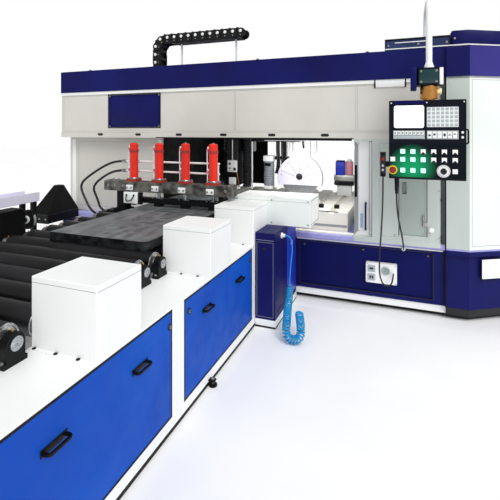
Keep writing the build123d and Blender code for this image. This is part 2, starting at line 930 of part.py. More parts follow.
def saw_head(front):
    """The head plate with its arbor bearing and the motor behind it."""
    back = front - run_gap
    head = block(
        saw_x - saw_head_width / 2, saw_x + saw_head_width / 2, back - saw_head_thickness, back,
        saw_z - 110, carriage_high - 90,
    )
    head = fillet(head.edges().filter_by(Axis.Y), 30)
    nose_front = tool_y + guard_half_width + 4
    nose = rod_y(saw_x, nose_front, back, saw_z, 52)
    motor = rod_y(saw_x, back, back + saw_motor_length, saw_z, saw_motor_radius)
    motor = fillet(motor.faces().sort_by(Axis.Y)[-1].edges(), 10)
    for i in range(12):
        angle = 360 / 12 * i
        fin = block(-3, 3, back + 30, back + saw_motor_length - 40, saw_motor_radius - 4,
                    saw_motor_radius + 9)
        motor += Pos(saw_x, 0, saw_z) * Rot(0, angle, 0) * fin
    bore = rod_y(saw_x, nose_front, back + 60, saw_z, arbor_radius + fit_gap)
    return head + nose + motor - bore


def saw_blade(front):
    """A toothed disc on its arbor, between two flanges."""
    pitch = 2 * pi / blade_teeth
    root = blade_radius - tooth_height
    points = []
    for i in range(blade_teeth):
        angle = i * pitch
        tip = angle + 0.28 * pitch
        points.append((root * cos(angle), root * sin(angle)))
        points.append((blade_radius * cos(tip), blade_radius * sin(tip)))
        points.append((root * cos(tip + 0.12 * pitch), root * sin(tip + 0.12 * pitch)))
    disc = extrude(make_face(Polyline(*points, close=True)), blade_thickness / 2, both=True)
    disc = Pos(saw_x, tool_y, saw_z) * Rot(90, 0, 0) * disc
    flange = rod_y(saw_x, tool_y - 14, tool_y + 14, saw_z, 46)
    nut = Pos(saw_x, tool_y - 18, saw_z) * Rot(90, 0, 0) * extrude(RegularPolygon(20, 6), 4, both=True)
    arbor = rod_y(saw_x, tool_y + 14, front + 50, saw_z, arbor_radius)
    return disc + flange + nut + arbor


def saw_guard(front):
    """A round blade guard, open below, carried by the arbor housing."""
    outer = rod_y(saw_x, tool_y - guard_half_width, tool_y + guard_half_width, saw_z, guard_radius)
    outer = fillet(outer.faces().sort_by(Axis.Y)[0].edges(), 12)
    wall = guard_half_width - guard_wall
    outer -= rod_y(saw_x, tool_y - wall, tool_y + wall, saw_z, guard_radius - guard_wall)
    outer -= block(saw_x - 300, saw_x + 300, tool_y - 60, tool_y + 60, saw_z - 300,
                   saw_z - guard_open_below)
    outer -= rod_y(saw_x, tool_y + wall, tool_y + guard_half_width, saw_z, 30)
    back = front - run_gap - saw_head_thickness
    for side in (-1, 1):
        x = saw_x + side * 70
        outer += rod_y(x, tool_y + guard_half_width, back, saw_z + 90, 12)
    return outer


def mill_carriage():
    """Carriage of the milling unit, with a bellows cover on each side of the ram."""
    plate, front = carriage_plate(mill_x, mill_carriage_width)
    for side in (-1, 1):
        x = mill_x + side * bellows_spacing / 2
        plate += bellows(x, front - bellows_radius + 6, bellows_low, bellows_high, bellows_radius)
        plate += block(x - 50, x + 50, front - bellows_radius - 40, front, bellows_high,
                       bellows_high + 30)
    return plate, front


def mill_ram(front):
    """A square ram with a spindle housing at its foot and a motor on its head."""
    back = front - run_gap
    half = ram_width / 2
    ram = block(mill_x - half, mill_x + half, tool_y - ram_depth / 2, back, ram_low, ram_high)
    ram = chamfer(ram.edges().filter_by(Axis.Z).group_by(Axis.Y)[0], 14)
    ram += rod_z(mill_x, tool_y, spindle_nose_low, ram_low, spindle_radius + 12)
    ram += block(mill_x - half + 10, mill_x + half - 10, tool_y - 40, back, ram_high, carriage_high - 120)
    return ram - rod_z(mill_x, tool_y, spindle_nose_low, ram_low + 200, spindle_radius - 10 + fit_gap)


def milling_spindle():
    """Spindle, holder and face mill with its inserts."""
    body = rod_z(mill_x, tool_y, spindle_nose_low - 6, ram_low + 190, spindle_radius - 10)
    holder = Pos(mill_x, tool_y, cutter_low + 8) * Cone(
        cutter_radius - 6, spindle_radius - 12, spindle_nose_low - cutter_low - 14,
        align=(Align.CENTER, Align.CENTER, Align.MIN),
    )
    cutter = rod_z(mill_x, tool_y, cutter_low, cutter_low + 8, cutter_radius - 4)
    for i in range(cutter_flutes):
        insert = block(cutter_radius - 10, cutter_radius, -2, 2, -2, 8)
        cutter += Pos(mill_x, tool_y, cutter_low) * Rot(0, 0, 360 / cutter_flutes * i) * insert
    return body + holder + cutter


# Doors

def sliding_door():
    """A panel with a raised stile and a vertical grip at its leading edge."""
    front = front_sheet + 8
    back = front + door_thickness
    door = block(door_left, door_right, front, back, door_low, door_high)
    door -= block(door_left + stile_width, door_edge + 60, front, front + 4, door_low + 40, door_high - 40)
    grip_x = (handle_left + handle_right) / 2
    grip_y = grip_thickness / 2 + grip_clearance
    grip = FilletPolyline(
        (grip_x, front + 4, grip_low), (grip_x, grip_y, grip_low),
        (grip_x, grip_y, grip_high), (grip_x, front + 4, grip_high), radius=12,
    )
    section = Plane(origin=grip @ 0, z_dir=grip % 0) * RectangleRounded(22, grip_thickness, 5)
    return door + sweep(section, path=grip)


def hinge_axis():
    """The access door's pin line: x and y."""
    return access_right - hinge_radius - 4, -hinge_radius - run_gap


def access_door():
    """A hinged leaf with a recessed pull and two hinge knuckles."""
    leaf = block(access_left, access_right, 2, 2 + access_thickness, access_low, access_high)
    x, y = hinge_axis()
    pull_z = (access_low + access_high) / 2
    leaf -= block(access_left + 14, access_left + 40, 2, 2 + pull_depth, pull_z - 45, pull_z + 45)
    for z in hinge_heights:
        leaf += rod_z(x, y, z, z + hinge_knuckle, hinge_radius)
        leaf += block(x - 5, x, y, 2, z, z + hinge_knuckle)
        leaf -= rod_z(x, y, z, z + hinge_knuckle, hinge_pin + fit_gap)
    return leaf


# Right module, roof and chain

def chain_point(s):
    """A point of the chain's centre line, s along it from the roof, and its direction."""
    start = chain_start_z
    rise = chain_run_z - chain_bend - start
    arc = chain_bend * pi / 2
    if s < rise:
        return chain_left, start + s
    if s < rise + arc:
        turn = (s - rise) / chain_bend
        return (chain_left + chain_bend * (1 - cos(turn)), chain_run_z - chain_bend + chain_bend * sin(turn))
    return chain_left + chain_bend + (s - rise - arc), chain_run_z


def energy_chain():
    """Links of an energy chain: each has two side plates and two bars, with narrow and wide
    links in turn, and a pin boss at every joint."""
    rise = chain_run_z - chain_bend - chain_start_z
    length = rise + chain_bend * pi / 2 + (chain_right - chain_left - chain_bend)
    count = int(length // chain_pitch)
    step = length / count
    half = chain_height / 2
    links = []
    for i in range(count):
        x0, z0 = chain_point(i * step)
        x1, z1 = chain_point((i + 1) * step)
        run = ((x1 - x0) ** 2 + (z1 - z0) ** 2) ** 0.5
        angle = degrees(atan2(z1 - z0, x1 - x0))
        wide = chain_width / 2 - (0 if i % 2 else chain_plate + run_gap)
        outline = Pos(run / 2, 0) * SlotCenterToCenter(run, chain_height)
        plate = extrude(outline, chain_plate)
        pieces = Part() + Pos(0, 0, wide - chain_plate) * plate + Pos(0, 0, -wide) * plate
        for z in (-half + chain_bar, half - chain_bar):
            pieces += block(run * 0.32, run * 0.68, z - chain_bar / 2, z + chain_bar / 2,
                            -wide + chain_plate / 2, wide - chain_plate / 2)
        place = Pos((x0), chain_y, z0) * Rot(0, -angle, 0) * Rot(90, 0, 0)
        links.append(place * pieces)
    foot_half = chain_width / 2 - 2 * (chain_plate + run_gap)
    foot = block(chain_left - half, chain_left + half, chain_y - foot_half, chain_y + foot_half, band_top,
                 chain_start_z)
    return links + [foot]


# Hanging control panel

def control_arm():
    """A white tube that rises from the roof cap and comes forward and down to the panel."""
    path = FilletPolyline(
        (arm_x, arm_back, cap_top), (arm_x, arm_back, arm_top), (arm_x, arm_y, arm_top),
        (arm_x, arm_y, swivel_high + 44), radius=arm_bend,
    )
    section = Plane(origin=path @ 0, z_dir=path % 0) * Circle(arm_radius)
    tube = sweep(section, path=path)
    foot = rod_z(arm_x, arm_back, cap_top, cap_top + 14, 60)
    flare = Pos(arm_x, arm_y, swivel_high) * Cone(
        arm_radius + 16, arm_radius + 2, 44, align=(Align.CENTER, Align.CENTER, Align.MIN)
    )
    return tube + foot + flare


def swivel_block():
    """The block that holds the panel's neck, with its bearing bore."""
    half = swivel_width / 2
    body = block(arm_x - half, arm_x + half, arm_y - swivel_depth / 2, arm_y + swivel_depth / 2,
                 swivel_low, swivel_high)
    body = fillet(upright_edges(body), 22)
    return body - rod_z(arm_x, arm_y, swivel_low, swivel_high - 30, 24 + fit_gap)


def panel_place(offset, z):
    """Centre of a key at an offset from the panel's left edge."""
    return console_left + offset, z


def control_panel():
    """Housing with a screen recess, the swivel neck, the pendant holder and two cable glands."""
    body = block(console_left, console_right, console_front, console_back, console_low, console_high)
    body = fillet(body.edges().filter_by(Axis.Y), console_round)
    body -= block(console_left + screen_left, console_left + screen_left + screen_width, console_front,
                  console_front + screen_depth, screen_low, screen_low + screen_height)
    neck = rod_z(arm_x, arm_y, console_high + 10, swivel_low - run_gap, neck_radius)
    neck = fillet(neck.faces().sort_by(Axis.Z)[-1].edges(), 8)
    neck += rod_z(arm_x, arm_y, console_high, console_high + 10, neck_radius * 0.7)
    neck += rod_z(arm_x, arm_y, swivel_low - run_gap, swivel_high - 32, 24)
    body += neck
    grip_x = console_right + 16
    grip = FilletPolyline(
        (console_right - 1, console_front + 30, 1410), (grip_x, console_front + 30, 1410),
        (grip_x, console_front + 30, 1510), (console_right - 1, console_front + 30, 1510), radius=10,
    )
    section = Plane(origin=grip @ 0, z_dir=grip % 0) * Circle(6)
    body += sweep(section, path=grip)
    pendant_right = console_left - pendant_gap
    pendant = block(pendant_right - pendant_width, pendant_right, console_front + 10,
                    console_front + 50, pendant_low, pendant_high)
    body += fillet(upright_edges(pendant), 10)
    body += block(pendant_right - 6, console_left, console_front + 20, console_front + 40,
                  pendant_link_low, pendant_link_high)
    gland = Pos(gland_x, arm_y, console_low - gland_length) * Cone(
        gland_radius * 0.62, gland_radius, gland_length, align=(Align.CENTER, Align.CENTER, Align.MIN)
    )
    body += gland
    stop_x, stop_z = panel_place(button_first, row_3_z)
    body -= rod_y(stop_x, console_front, console_front + stop_stem_length + stop_travel + 1, stop_z,
                  stop_stem + fit_gap)
    knob_x, knob_z = panel_place(knob_column + button_first, row_3_z)
    body -= rod_y(knob_x, console_front, console_front + 16, knob_z, 8 + fit_gap)
    return body


def panel_keys():
    """Keypad with raised keys, the strip of soft keys and the rows of square buttons."""
    face = console_front
    left = console_left + keypad_left
    pad = block(left, left + keypad_width, face - 3, face, keypad_low, keypad_low + keypad_height)
    column = keypad_width / keypad_columns
    row = keypad_height / keypad_rows
    for i in range(keypad_columns):
        for j in range(keypad_rows):
            x = left + i * column
            z = keypad_low + j * row
            pad += block(x + 4, x + column - 4, face - 5, face - 3, z + 4, z + row - 4)
    pieces = [pad]
    for start, width in ((screen_left, screen_width), (keypad_left, keypad_width)):
        x = console_left + start
        pieces.append(block(x, x + width, face - 3, face, strip_low, strip_low + strip_height))
    for z, columns in ((row_1_z, range(1, 7)), (row_2_z, range(7)), (row_3_z, (1, 2, 3, 6))):
        for i in columns:
            x = console_left + button_first + i * button_column
            half = button_side / 2
            key = block(x - half, x + half, face - button_rise, face, z - half, z + half)
            pieces.append(chamfer(key.faces().sort_by(Axis.Y)[0].edges(), 2))
    return pieces


def emergency_stop():
    x, z = panel_place(button_first, row_3_z)
    face = console_front
    head = rod_y(x, face - stop_travel - 22, face - stop_travel - 1, z, stop_radius)
    head = fillet(head.faces().sort_by(Axis.Y)[0].edges(), 8)
    return head + rod_y(x, face - stop_travel - 1, face + stop_stem_length, z, stop_stem)


def override_knob():
    """A rotary knob with a finger bar on a round dial."""
    x, z = panel_place(knob_column + button_first, row_3_z)
    face = console_front
    dial = rod_y(x, face - 6 - run_gap, face - run_gap, z, knob_radius)
    grip = rod_y(x, face - knob_rise - 6, face - 6, z, knob_radius * 0.55)
    bar = block(x - 5, x + 5, face - knob_rise - 18, face - 6, z - knob_radius * 0.6, z + knob_radius * 0.6)
    return dial + grip + fillet(bar.edges().filter_by(Axis.Y), 3) + rod_y(x, face - 1, face + 12, z, 8)


def socket_box():
    """A box on the base's front with a round inlet for each cable."""
    box = block(socket_left, socket_right, base_set_back - socket_depth, base_set_back, socket_low,
                socket_high)
    box = fillet(box.edges().filter_by(Axis.Y), 8)
    back = base_set_back + recess_depth
    mount = block(socket_left + 20, socket_right - 20, base_set_back, back, socket_low + 20,
                  socket_high - 20)
    x, y, z = cable_1_route[-1]
    inlet = rod_y(x, y, base_set_back - socket_depth, z, 15)
    x, y, z = cable_2_route[-1]
    gland = rod_y(x, y, base_set_back, z, 14)
    return [box + mount + inlet, gland]


# Cords: each route is a list of points, joined by arcs as large as the runs allow

cable_1_route = [
    (923, -320, 1154.7), (922, -318, 1010), (916, -295, 855), (906, -245, 700), (893, -190, 560),
    (886, -150, 440), (888, -142, 335), (915, -134, 256), (975, -128, 256), (990, -125, 325),
    (990, -40, 325),
]
cable_2_route = [
    (1020, -300, 1024.7), (1021, -298, 930), (1036, -250, 800), (1056, -170, 685), (1066, -95, 596),
    (1068, -40, 529.5), (1068, -8, 529.5),
]
hose_lead_route = [
    (190, -460, 670), (226, -460, 670), (246, -462, 630), (250, -466, 560), (240, -470, 460),
    (232, -474, 370), (232, -478, 290),
]
coil_route = [
    (232, -478, 290), (232, -478, 225), (255, -620, 150), (288, -765, 120), (292, -800, 34),
    (395, -800, 34), (398, -775, 130), (350, -650, 165),
]
hose_1_route = [
    (-1395, -378.5, 1215), (-1480, -378.5, 1215), (-1620, -384, 1180), (-1870, -392, 1035),
    (-1930, -398, 960), (-1885, -406, 870), (-1760, -416, 690), (-1650, -416, 690),
]
hose_2_route = [
    (-1395, -378.5, 1126), (-1480, -378.5, 1126), (-1620, -352, 1090), (-1780, -335, 1000),
    (-1840, -325, 925), (-1795, -315, 835), (-1760, -300, 700), (-1650, -300, 700),
]


def cord_radii(route):
    """An arc for each corner: 0.45 of the shorter run over the tangent of half the turn."""
    points = [Vector(*p) for p in route]
    radii = []
    for before, here, after in zip(points, points[1:], points[2:]):
        run_in, run_out = here - before, after - here
        turn = radians(run_in.get_angle(run_out))
        radii.append(0.45 * min(run_in.length, run_out.length) / tan(turn / 2))
    return radii


def cord_tube(name, route, radius):
    """A plain tube along the route, with its arcs' radii and its length printed."""
    radii = cord_radii(route)
    path = FilletPolyline(*route, radius=radii)
    section = Plane(origin=path @ 0, z_dir=path % 0) * Circle(radius)
    tube = sweep(section, path=path)
    expected = pi * radius ** 2 * path.length
    print(name, "length", round(path.length), "radii", [round(r) for r in radii],
          "volume ratio", round(tube.volume / expected, 4))
    return tube


def hose_fitting():
    """The elbow fitting that the air hose leaves from the cabinet's side."""
    x, y, z = hose_lead_route[0]
    body = rod_x(cabinet_width, x, y, z, fitting_radius)
    plate = rod_x(cabinet_width, cabinet_width + 6, y, z, fitting_radius * 1.7)
    return body + plate


def main():
    os.makedirs("parts", exist_ok=True)

    save("frame_right", frame_right())
    save("frame_left", frame_side(far_rail_outer, far_rail_inner, 0))
    save("cross_beams", *cross_beams())
    for number, (front, back) in enumerate(panel_bays(), start=1):
        save(f"side_panel_{number}", side_panel(front, back))
    save("panel_handles", *[pull_handle(y) for y in handle_places()])
    save("levelling_feet", *levelling_feet())
    for number, y in enumerate(roller_ys[:free_rollers], start=1):
        save(f"roller_{number}", roller(y, y in driven_ys))
    save("rollers_under_plate", *[roller(y, y in driven_ys) for y in roller_ys[free_rollers:]])
    save("bearing_blocks", *[pillow_block(x, y) for y in roller_ys for x in (bearing_right_x, bearing_left_x)])
    save("drive_covers", *[drive_cover(front, back) for front, back in covers])
    save("drive_motors", far_drive(), *[gear_motor(y) for y in driven_ys])
    save("workpiece_plate", workpiece())
    save("end_cover", end_cover())
    save("side_cabinet", side_cabinet())

    save("clamp_portal", clamp_portal())
    save("clamp_cylinders", *[clamp_cylinder(x) for x in cylinder_xs])
    save("clamp_bar", clamp_bar())
    save("manifold_pipes", *manifold_pipes())
    save("hydraulic_hose_1", cord_tube("hydraulic_hose_1", hose_1_route, hose_radius))
    save("hydraulic_hose_2", cord_tube("hydraulic_hose_2", hose_2_route, hose_radius))

    save("machine_base", machine_base())
    save("left_pillar", left_pillar())
    save("right_column", right_column())
    save("upper_enclosure", upper_enclosure())
    save("top_band", top_band())
    save("roof_fittings", *roof_fittings())
    save("right_base", right_base())
    save("right_body", right_body())
    save("hopper", hopper())
    save("energy_chain", *energy_chain())

    save("gantry_beam", gantry_beam())
    carriage, front = saw_carriage()
    save("saw_carriage", carriage)
    save("saw_head", saw_head(front))
    save("saw_blade", saw_blade(front))
    save("saw_guard", saw_guard(front))
    carriage, front = mill_carriage()
    save("mill_carriage", carriage)
    save("mill_ram", mill_ram(front))
    save("milling_spindle", milling_spindle())
    save("sliding_door", sliding_door())
    save("access_door", access_door())

    save("control_arm", control_arm())
    save("swivel_block", swivel_block())
    save("control_panel", control_panel())
    save("panel_keys", *panel_keys())
    save("emergency_stop", emergency_stop())
    save("override_knob", override_knob())
    save("cable_1", cord_tube("cable_1", cable_1_route, cable_radius))
    save("cable_2", cord_tube("cable_2", cable_2_route, cable_radius))
    save("socket_box", *socket_box())
    save("hose_fitting", hose_fitting())
    save("hose_lead", cord_tube("hose_lead", hose_lead_route, lead_radius))
    save("hose_coil", cord_tube("hose_coil", coil_route, coil_radius))


main()
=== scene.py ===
# %% [markdown]
# ## The machine and its frame
# The real machine is a roller conveyor that feeds steel plate through a hydraulic clamp into an
# enclosed gantry with a saw and a milling spindle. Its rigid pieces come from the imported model, which
# is loaded here as a fixed frame. Everything below gives those pieces their finishes and adds the small
# parts, hoses and cables that a rigid model doesn't hold.

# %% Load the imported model
from math import cos, pi, radians, sin

import bpy
from mathutils import Matrix, Vector


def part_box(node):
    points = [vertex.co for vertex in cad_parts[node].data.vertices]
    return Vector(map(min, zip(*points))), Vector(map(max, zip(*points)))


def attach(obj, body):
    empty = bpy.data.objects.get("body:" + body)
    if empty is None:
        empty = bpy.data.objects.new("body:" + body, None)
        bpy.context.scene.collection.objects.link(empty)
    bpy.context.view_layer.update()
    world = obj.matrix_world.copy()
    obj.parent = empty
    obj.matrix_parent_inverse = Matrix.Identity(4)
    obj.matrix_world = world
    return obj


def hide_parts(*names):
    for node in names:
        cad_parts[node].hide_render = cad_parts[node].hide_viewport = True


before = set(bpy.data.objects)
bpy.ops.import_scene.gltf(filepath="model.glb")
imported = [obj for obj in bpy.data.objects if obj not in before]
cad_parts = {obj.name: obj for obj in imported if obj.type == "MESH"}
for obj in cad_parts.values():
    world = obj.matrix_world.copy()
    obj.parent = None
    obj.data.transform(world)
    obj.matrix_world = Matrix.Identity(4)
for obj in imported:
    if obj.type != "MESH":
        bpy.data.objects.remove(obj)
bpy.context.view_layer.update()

# %% [markdown]
# ## Places
# The machine was measured from its own corners: x is 0 on the conveyor's operator side, y is 0 on the
# machine's front, and z is the height above the floor, all in millimetres. One function turns such a
# place into the frame's metres, and another turns a point of the frame back, so that every size below
# can be read like a workshop drawing. The shift between the two comes from the frame itself.

# %% Places in millimetres
MM = 0.001
SHIFT_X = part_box("frame_right")[1].x
SHIFT_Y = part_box("machine_base")[0].y


def at(x, y, z):
    """A place in millimetres from the machine's corner, in the frame's metres."""
    return Vector((x * MM + SHIFT_X, y * MM + SHIFT_Y, z * MM))


def mm(point):
    """A point of the frame, in millimetres from the machine's corner."""
    return (point.x - SHIFT_X) / MM, (point.y - SHIFT_Y) / MM, point.z / MM


print("conveyor's operator side at x =", round(SHIFT_X, 3), "front at y =", round(SHIFT_Y, 3))

# %% [markdown]
# ## Camera
# The photograph was taken standing, from the operator's side, with the camera level: upright edges are
# parallel. A level camera that shows more floor than ceiling is a shifted one, so the lens is shifted
# down instead of tilted. The eye height of 1.5 m sets the whole machine's scale.

# %% Camera
EYE = (1085, -3600, 1500)
TURN = 20.8
FOCAL_IN_WIDTHS = 410 / 500
SENSOR = 36
SHIFT_DOWN = -119 / 500

bpy.ops.object.camera_add(location=at(*EYE), rotation=(radians(90), 0, radians(TURN)))
camera = bpy.context.object
camera.data.sensor_width = SENSOR
camera.data.lens = SENSOR * FOCAL_IN_WIDTHS
camera.data.shift_y = SHIFT_DOWN
bpy.context.scene.camera = camera
print("lens", round(camera.data.lens, 2), "mm")

# %% [markdown]
# ## Light and floor
# The machine stands in an even white light. A world of soft white gives the level, a broad sun from the
# upper right gives the direction, and a pale floor takes the shadow. The camera and glass see
# the world as white, which is what the photograph has behind the machine, and gloss sees it dimmer, as
# the far walls of a workshop, so that dark paint stays dark.

# %% World, lamps and floor
AMBIENT = 0.79
GLOSS_LIGHT = 0.3
SUN_STRENGTH = 1.8
SUN_WIDTH = 35
SUN_TURN = (42, 18, 28)
FLOOR_SIZE = 60


def fill(tree, node, values):
    """Set a node's properties or inputs by name: each to a plain value, or to the socket that drives it."""
    for name, value in values.items():
        if isinstance(value, bpy.types.NodeSocket):
            tree.links.new(value, node.inputs[name])
        elif isinstance(name, int) or name in node.inputs:
            node.inputs[name].default_value = value
        else:
            setattr(node, name, value)
    return node


def add(tree, kind, values):
    """Add a node and fill it in."""
    return fill(tree, tree.nodes.new(kind), values)


def linear(colour):
    """An sRGB hex colour such as "#2F5BC4" as a linear RGBA value."""
    parts = [int(colour[i:i + 2], 16) / 255 for i in (1, 3, 5)]
    return [p / 12.92 if p <= 0.04045 else ((p + 0.055) / 1.055) ** 2.4 for p in parts] + [1]


world = bpy.data.worlds.new("soft white room")
bpy.context.scene.world = world
world.use_nodes = True
tree = world.node_tree
tree.nodes.clear()
path = add(tree, "ShaderNodeLightPath", {}).outputs
seen = add(tree, "ShaderNodeMath", {"operation": "MAXIMUM", 0: path["Is Camera Ray"],
                                    1: path["Is Transmission Ray"]})
level = add(tree, "ShaderNodeMapRange", {"To Min": AMBIENT, "To Max": 1.0, "Value": seen.outputs[0]})
strength = add(tree, "ShaderNodeMix", {"data_type": "FLOAT", 0: path["Is Glossy Ray"],
                                       2: level.outputs[0], 3: GLOSS_LIGHT})
sky = add(tree, "ShaderNodeBackground", {"Color": linear("#FFFFFF"), "Strength": strength.outputs[0]})
add(tree, "ShaderNodeOutputWorld", {"Surface": sky.outputs[0]})

bpy.ops.object.light_add(type="SUN", rotation=[radians(angle) for angle in SUN_TURN])
sun = bpy.context.object.data
sun.energy = SUN_STRENGTH
sun.angle = radians(SUN_WIDTH)

bpy.ops.mesh.primitive_plane_add(size=FLOOR_SIZE, location=(0, 0, 0))
floor = bpy.context.object
floor.name = "floor"
bpy.context.scene.view_settings.view_transform = "Standard"
print("world, sun and floor ready")

# %% [markdown]
# ## Painted sheet metal
# Most of the machine is folded steel sheet with a powder coat or an enamel. Up close such paint has a
# fine orange peel from the way it flows, a slightly uneven gloss, and a tone that drifts over a large
# panel. Peel, gloss and tone are three noise patterns at three scales, fed to one shader. The peel of
# the real coat is about 2 mm across. It is drawn at 8 mm, so that it still shows in a picture of the
# whole machine.

# %% Paints
PEEL_MM = 8
DRIFT_MM = 700
SMUDGE_MM = 90


def new_material(name):
    """A material with a plain shader, and its object coordinates in metres."""
    made = bpy.data.materials.new(name)
    made.use_nodes = True
    tree = made.node_tree
    return made, tree, tree.nodes["Principled BSDF"], add(tree, "ShaderNodeTexCoord", {}).outputs["Object"]


def noise(tree, where, size_mm, detail=2, stretch=None):
    """Noise whose lumps are about size_mm across, optionally drawn out along an axis."""
    if stretch:
        where = add(tree, "ShaderNodeMapping", {"Scale": stretch, "Vector": where}).outputs[0]
    return add(tree, "ShaderNodeTexNoise", {"Scale": 1 / (size_mm * MM), "Detail": detail,
                                            "Vector": where}).outputs["Fac"]


def between(tree, fac, low, high, start=0.35, end=0.65):
    """A number that runs from low to high as fac runs from start to end."""
    return add(tree, "ShaderNodeMapRange", {"From Min": start, "From Max": end, "To Min": low,
                                            "To Max": high, "Value": fac}).outputs[0]


def blend_colours(tree, fac, first, second):
    """A colour that runs from first to second with fac. Each is a hex value or a socket."""
    first, second = (linear(colour) if isinstance(colour, str) else colour for colour in (first, second))
    return add(tree, "ShaderNodeMix", {"data_type": "RGBA", "Factor": fac, 6: first, 7: second}).outputs[2]


def bump(tree, height, depth_mm, strength=0.5):
    """A surface raised by a height pattern."""
    return add(tree, "ShaderNodeBump", {"Strength": strength, "Distance": depth_mm * MM,
                                        "Height": height}).outputs[0]


def paint(name, colour, shade, roughness, peel=0.2, sheen=0.5):
    """Powder coat or enamel: peel, smudged gloss and a slow drift of tone. Sheen is its mirror part."""
    made, tree, shader, where = new_material(name)
    tone = between(tree, noise(tree, where, DRIFT_MM, 3), 0, 1)
    fill(tree, shader, {
        "Base Color": blend_colours(tree, tone, colour, shade), "IOR": 1.5, "Specular IOR Level": sheen,
        "Roughness": between(tree, noise(tree, where, SMUDGE_MM, 4), roughness * 0.85, roughness * 1.2),
        "Normal": bump(tree, noise(tree, where, PEEL_MM, 1), 0.4, peel)})
    return made


white_coat = paint("white powder coat", "#F4F5F4", "#ECEEEE", 0.42)
cream_coat = paint("cream textured powder coat", "#D4D2CB", "#C9C7BF", 0.5, 0.35)
grey_green_coat = paint("grey-green powder coat", "#C6CEC9", "#B8C2BC", 0.45)
moss_grey_coat = paint("darker grey-green powder coat", "#A9B5AE", "#9EABA4", 0.45)
steel_blue_coat = paint("steel-blue powder coat", "#A9BDD4", "#9AB0CA", 0.4)
# Lavender is painted reflection on the navy base's ledge, where it stands for the sky's light on the upward
# faces; it also paints the module band's frame and the saw guard's ribs.
lavender_and_painted_sheen = paint("lavender enamel", "#A6A6DC", "#8C8CCB", 0.32)
pale_lavender_coat = paint("pale lavender enamel", "#EAE8F4", "#D8D4EA", 0.35)
blue_enamel = paint("cobalt blue enamel", "#0F55BE", "#0E48AE", 0.46, 0.1, 0.1)
navy_enamel = paint("navy enamel", "#14195E", "#10124E", 0.44, 0.1, 0.12)
indigo_enamel = paint("dark navy enamel of the inset panels", "#0B1258", "#090D4A", 0.44, 0.1, 0.1)
red_enamel = paint("red cylinder enamel", "#E82C18", "#D42012", 0.28, 0.1, 0.35)
dark_red_enamel = paint("dark red enamel of the flanges", "#A8281F", "#8C1F1A", 0.36)
table_coat = paint("warm white enamel", "#F8F5EC", "#EFECE2", 0.45)
slate_blue_coat = paint("slate-blue enamel", "#303C66", "#262F54", 0.4, 0.1, 0.2)
# Violet-blue is painted light: a lighter copy of the navy for the band's turned facet, which faces the light.
painted_light_violet = paint("violet-blue enamel", "#3A3684", "#322D78", 0.34, 0.1, 0.2)
black_coat = paint("black powder coat", "#0D0E10", "#090A0B", 0.5, 0.1, 0.2)
seam_rubber = paint("dark grey rubber gasket", "#4A5154", "#3A4043", 0.6, 0.1, 0.2)
# Shadow grey is painted shade: its thin lines stand for the shade inside seams and grooves.
shadow_grey = paint("grey painted seam shade", "#9AA3A1", "#8B9492", 0.6, 0.1, 0.3)
# Bright cobalt is the enamel of the lubrication unit, and painted highlight on the side cabinet's right face.
cobalt_and_painted_highlight = paint("cobalt enamel and painted highlight", "#2A3CC8", "#2232B4", 0.34, 0.1, 0.25)
module_coat = paint("pale green-white powder coat", "#E9EEEB", "#DFE6E2", 0.45)
grey_machine_paint = paint("grey machine enamel", "#9A9DA0", "#8A8D91", 0.4)
print("paints:", sum("coat" in m.name or "enamel" in m.name for m in bpy.data.materials))

# %% [markdown]
# ## Steel, iron and rubber
# The plate is hot-rolled steel: a blue-grey mill scale that is mottled where it has rubbed off. Rods,
# pads and the blade are ground bright, which leaves fine parallel lines, so their noise is drawn out
# along one axis. The rollers carry a black rubber sleeve with faint turning lines and pale rub marks
# where plates have run over them, and the plate's flame-cut edge has upright drag lines.

# %% Metals and rubber


def mill_scale():
    """Hot-rolled plate: mottled blue-grey scale with brighter rubbed streaks along the feed."""
    made, tree, shader, where = new_material("hot-rolled mill scale")
    patches = between(tree, noise(tree, where, 70, 9), 0, 1, 0.36, 0.64)
    streaks = between(tree, noise(tree, where, 60, 4, (1, 0.12, 1)), 0, 1, 0.5, 0.85)
    scale = blend_colours(tree, patches, "#65696C", "#8E9294")
    fill(tree, shader, {"Base Color": blend_colours(tree, streaks, scale, "#A6A9A8"), "Metallic": 0.55,
                        "Roughness": between(tree, patches, 0.42, 0.62, 0, 1),
                        "Normal": bump(tree, noise(tree, where, 18, 5), 0.6, 0.4)})
    return made


def mottled(name, colours, pattern, spread, roughness, relief, depth_mm, strength, metallic=0.0):
    """Two colours in a pattern of noise, over the relief of another noise. Each noise is given by its size,
    detail and stretch. The roughness is one value, or two that follow the pattern."""
    made, tree, shader, where = new_material(name)
    spots = between(tree, noise(tree, where, *pattern), 0, 1, *spread)
    if isinstance(roughness, tuple):
        roughness = between(tree, spots, *roughness, 0, 1)
    fill(tree, shader, {"Base Color": blend_colours(tree, spots, *colours), "Roughness": roughness,
                        "Metallic": metallic,
                        "Normal": bump(tree, noise(tree, where, *relief), depth_mm, strength)})
    return made


def ground_steel(name, colour, roughness, stretch, worn="#8C8F94"):
    """Ground or turned steel: a bright metal with fine lines along one axis."""
    made, tree, shader, where = new_material(name)
    lines = noise(tree, where, 3, 3, stretch)
    fill(tree, shader, {"Base Color": blend_colours(tree, between(tree, lines, 0, 1), colour, worn),
                        "Roughness": between(tree, lines, roughness, roughness + 0.15), "Metallic": 1.0,
                        "Normal": bump(tree, lines, 0.15, 0.3)})
    return made


def plastic(name, colour, roughness, grain_mm=4, strength=0.2, more=None):
    """Moulded plastic or rubber with a fine grain. More holds other inputs of the shader."""
    made, tree, shader, where = new_material(name)
    grain = noise(tree, where, grain_mm, 2)
    fill(tree, shader, {"Roughness": between(tree, grain, roughness - 0.05, roughness + 0.08),
                        "Base Color": linear(colour), "Normal": bump(tree, grain, 0.2, strength),
                        **(more or {})})
    return made


def lamp(name, colour, strength):
    """A lit key cap: clear coloured plastic with a lamp behind it."""
    return plastic(name, colour, 0.25, more={"Emission Color": linear(colour), "Emission Strength": strength})


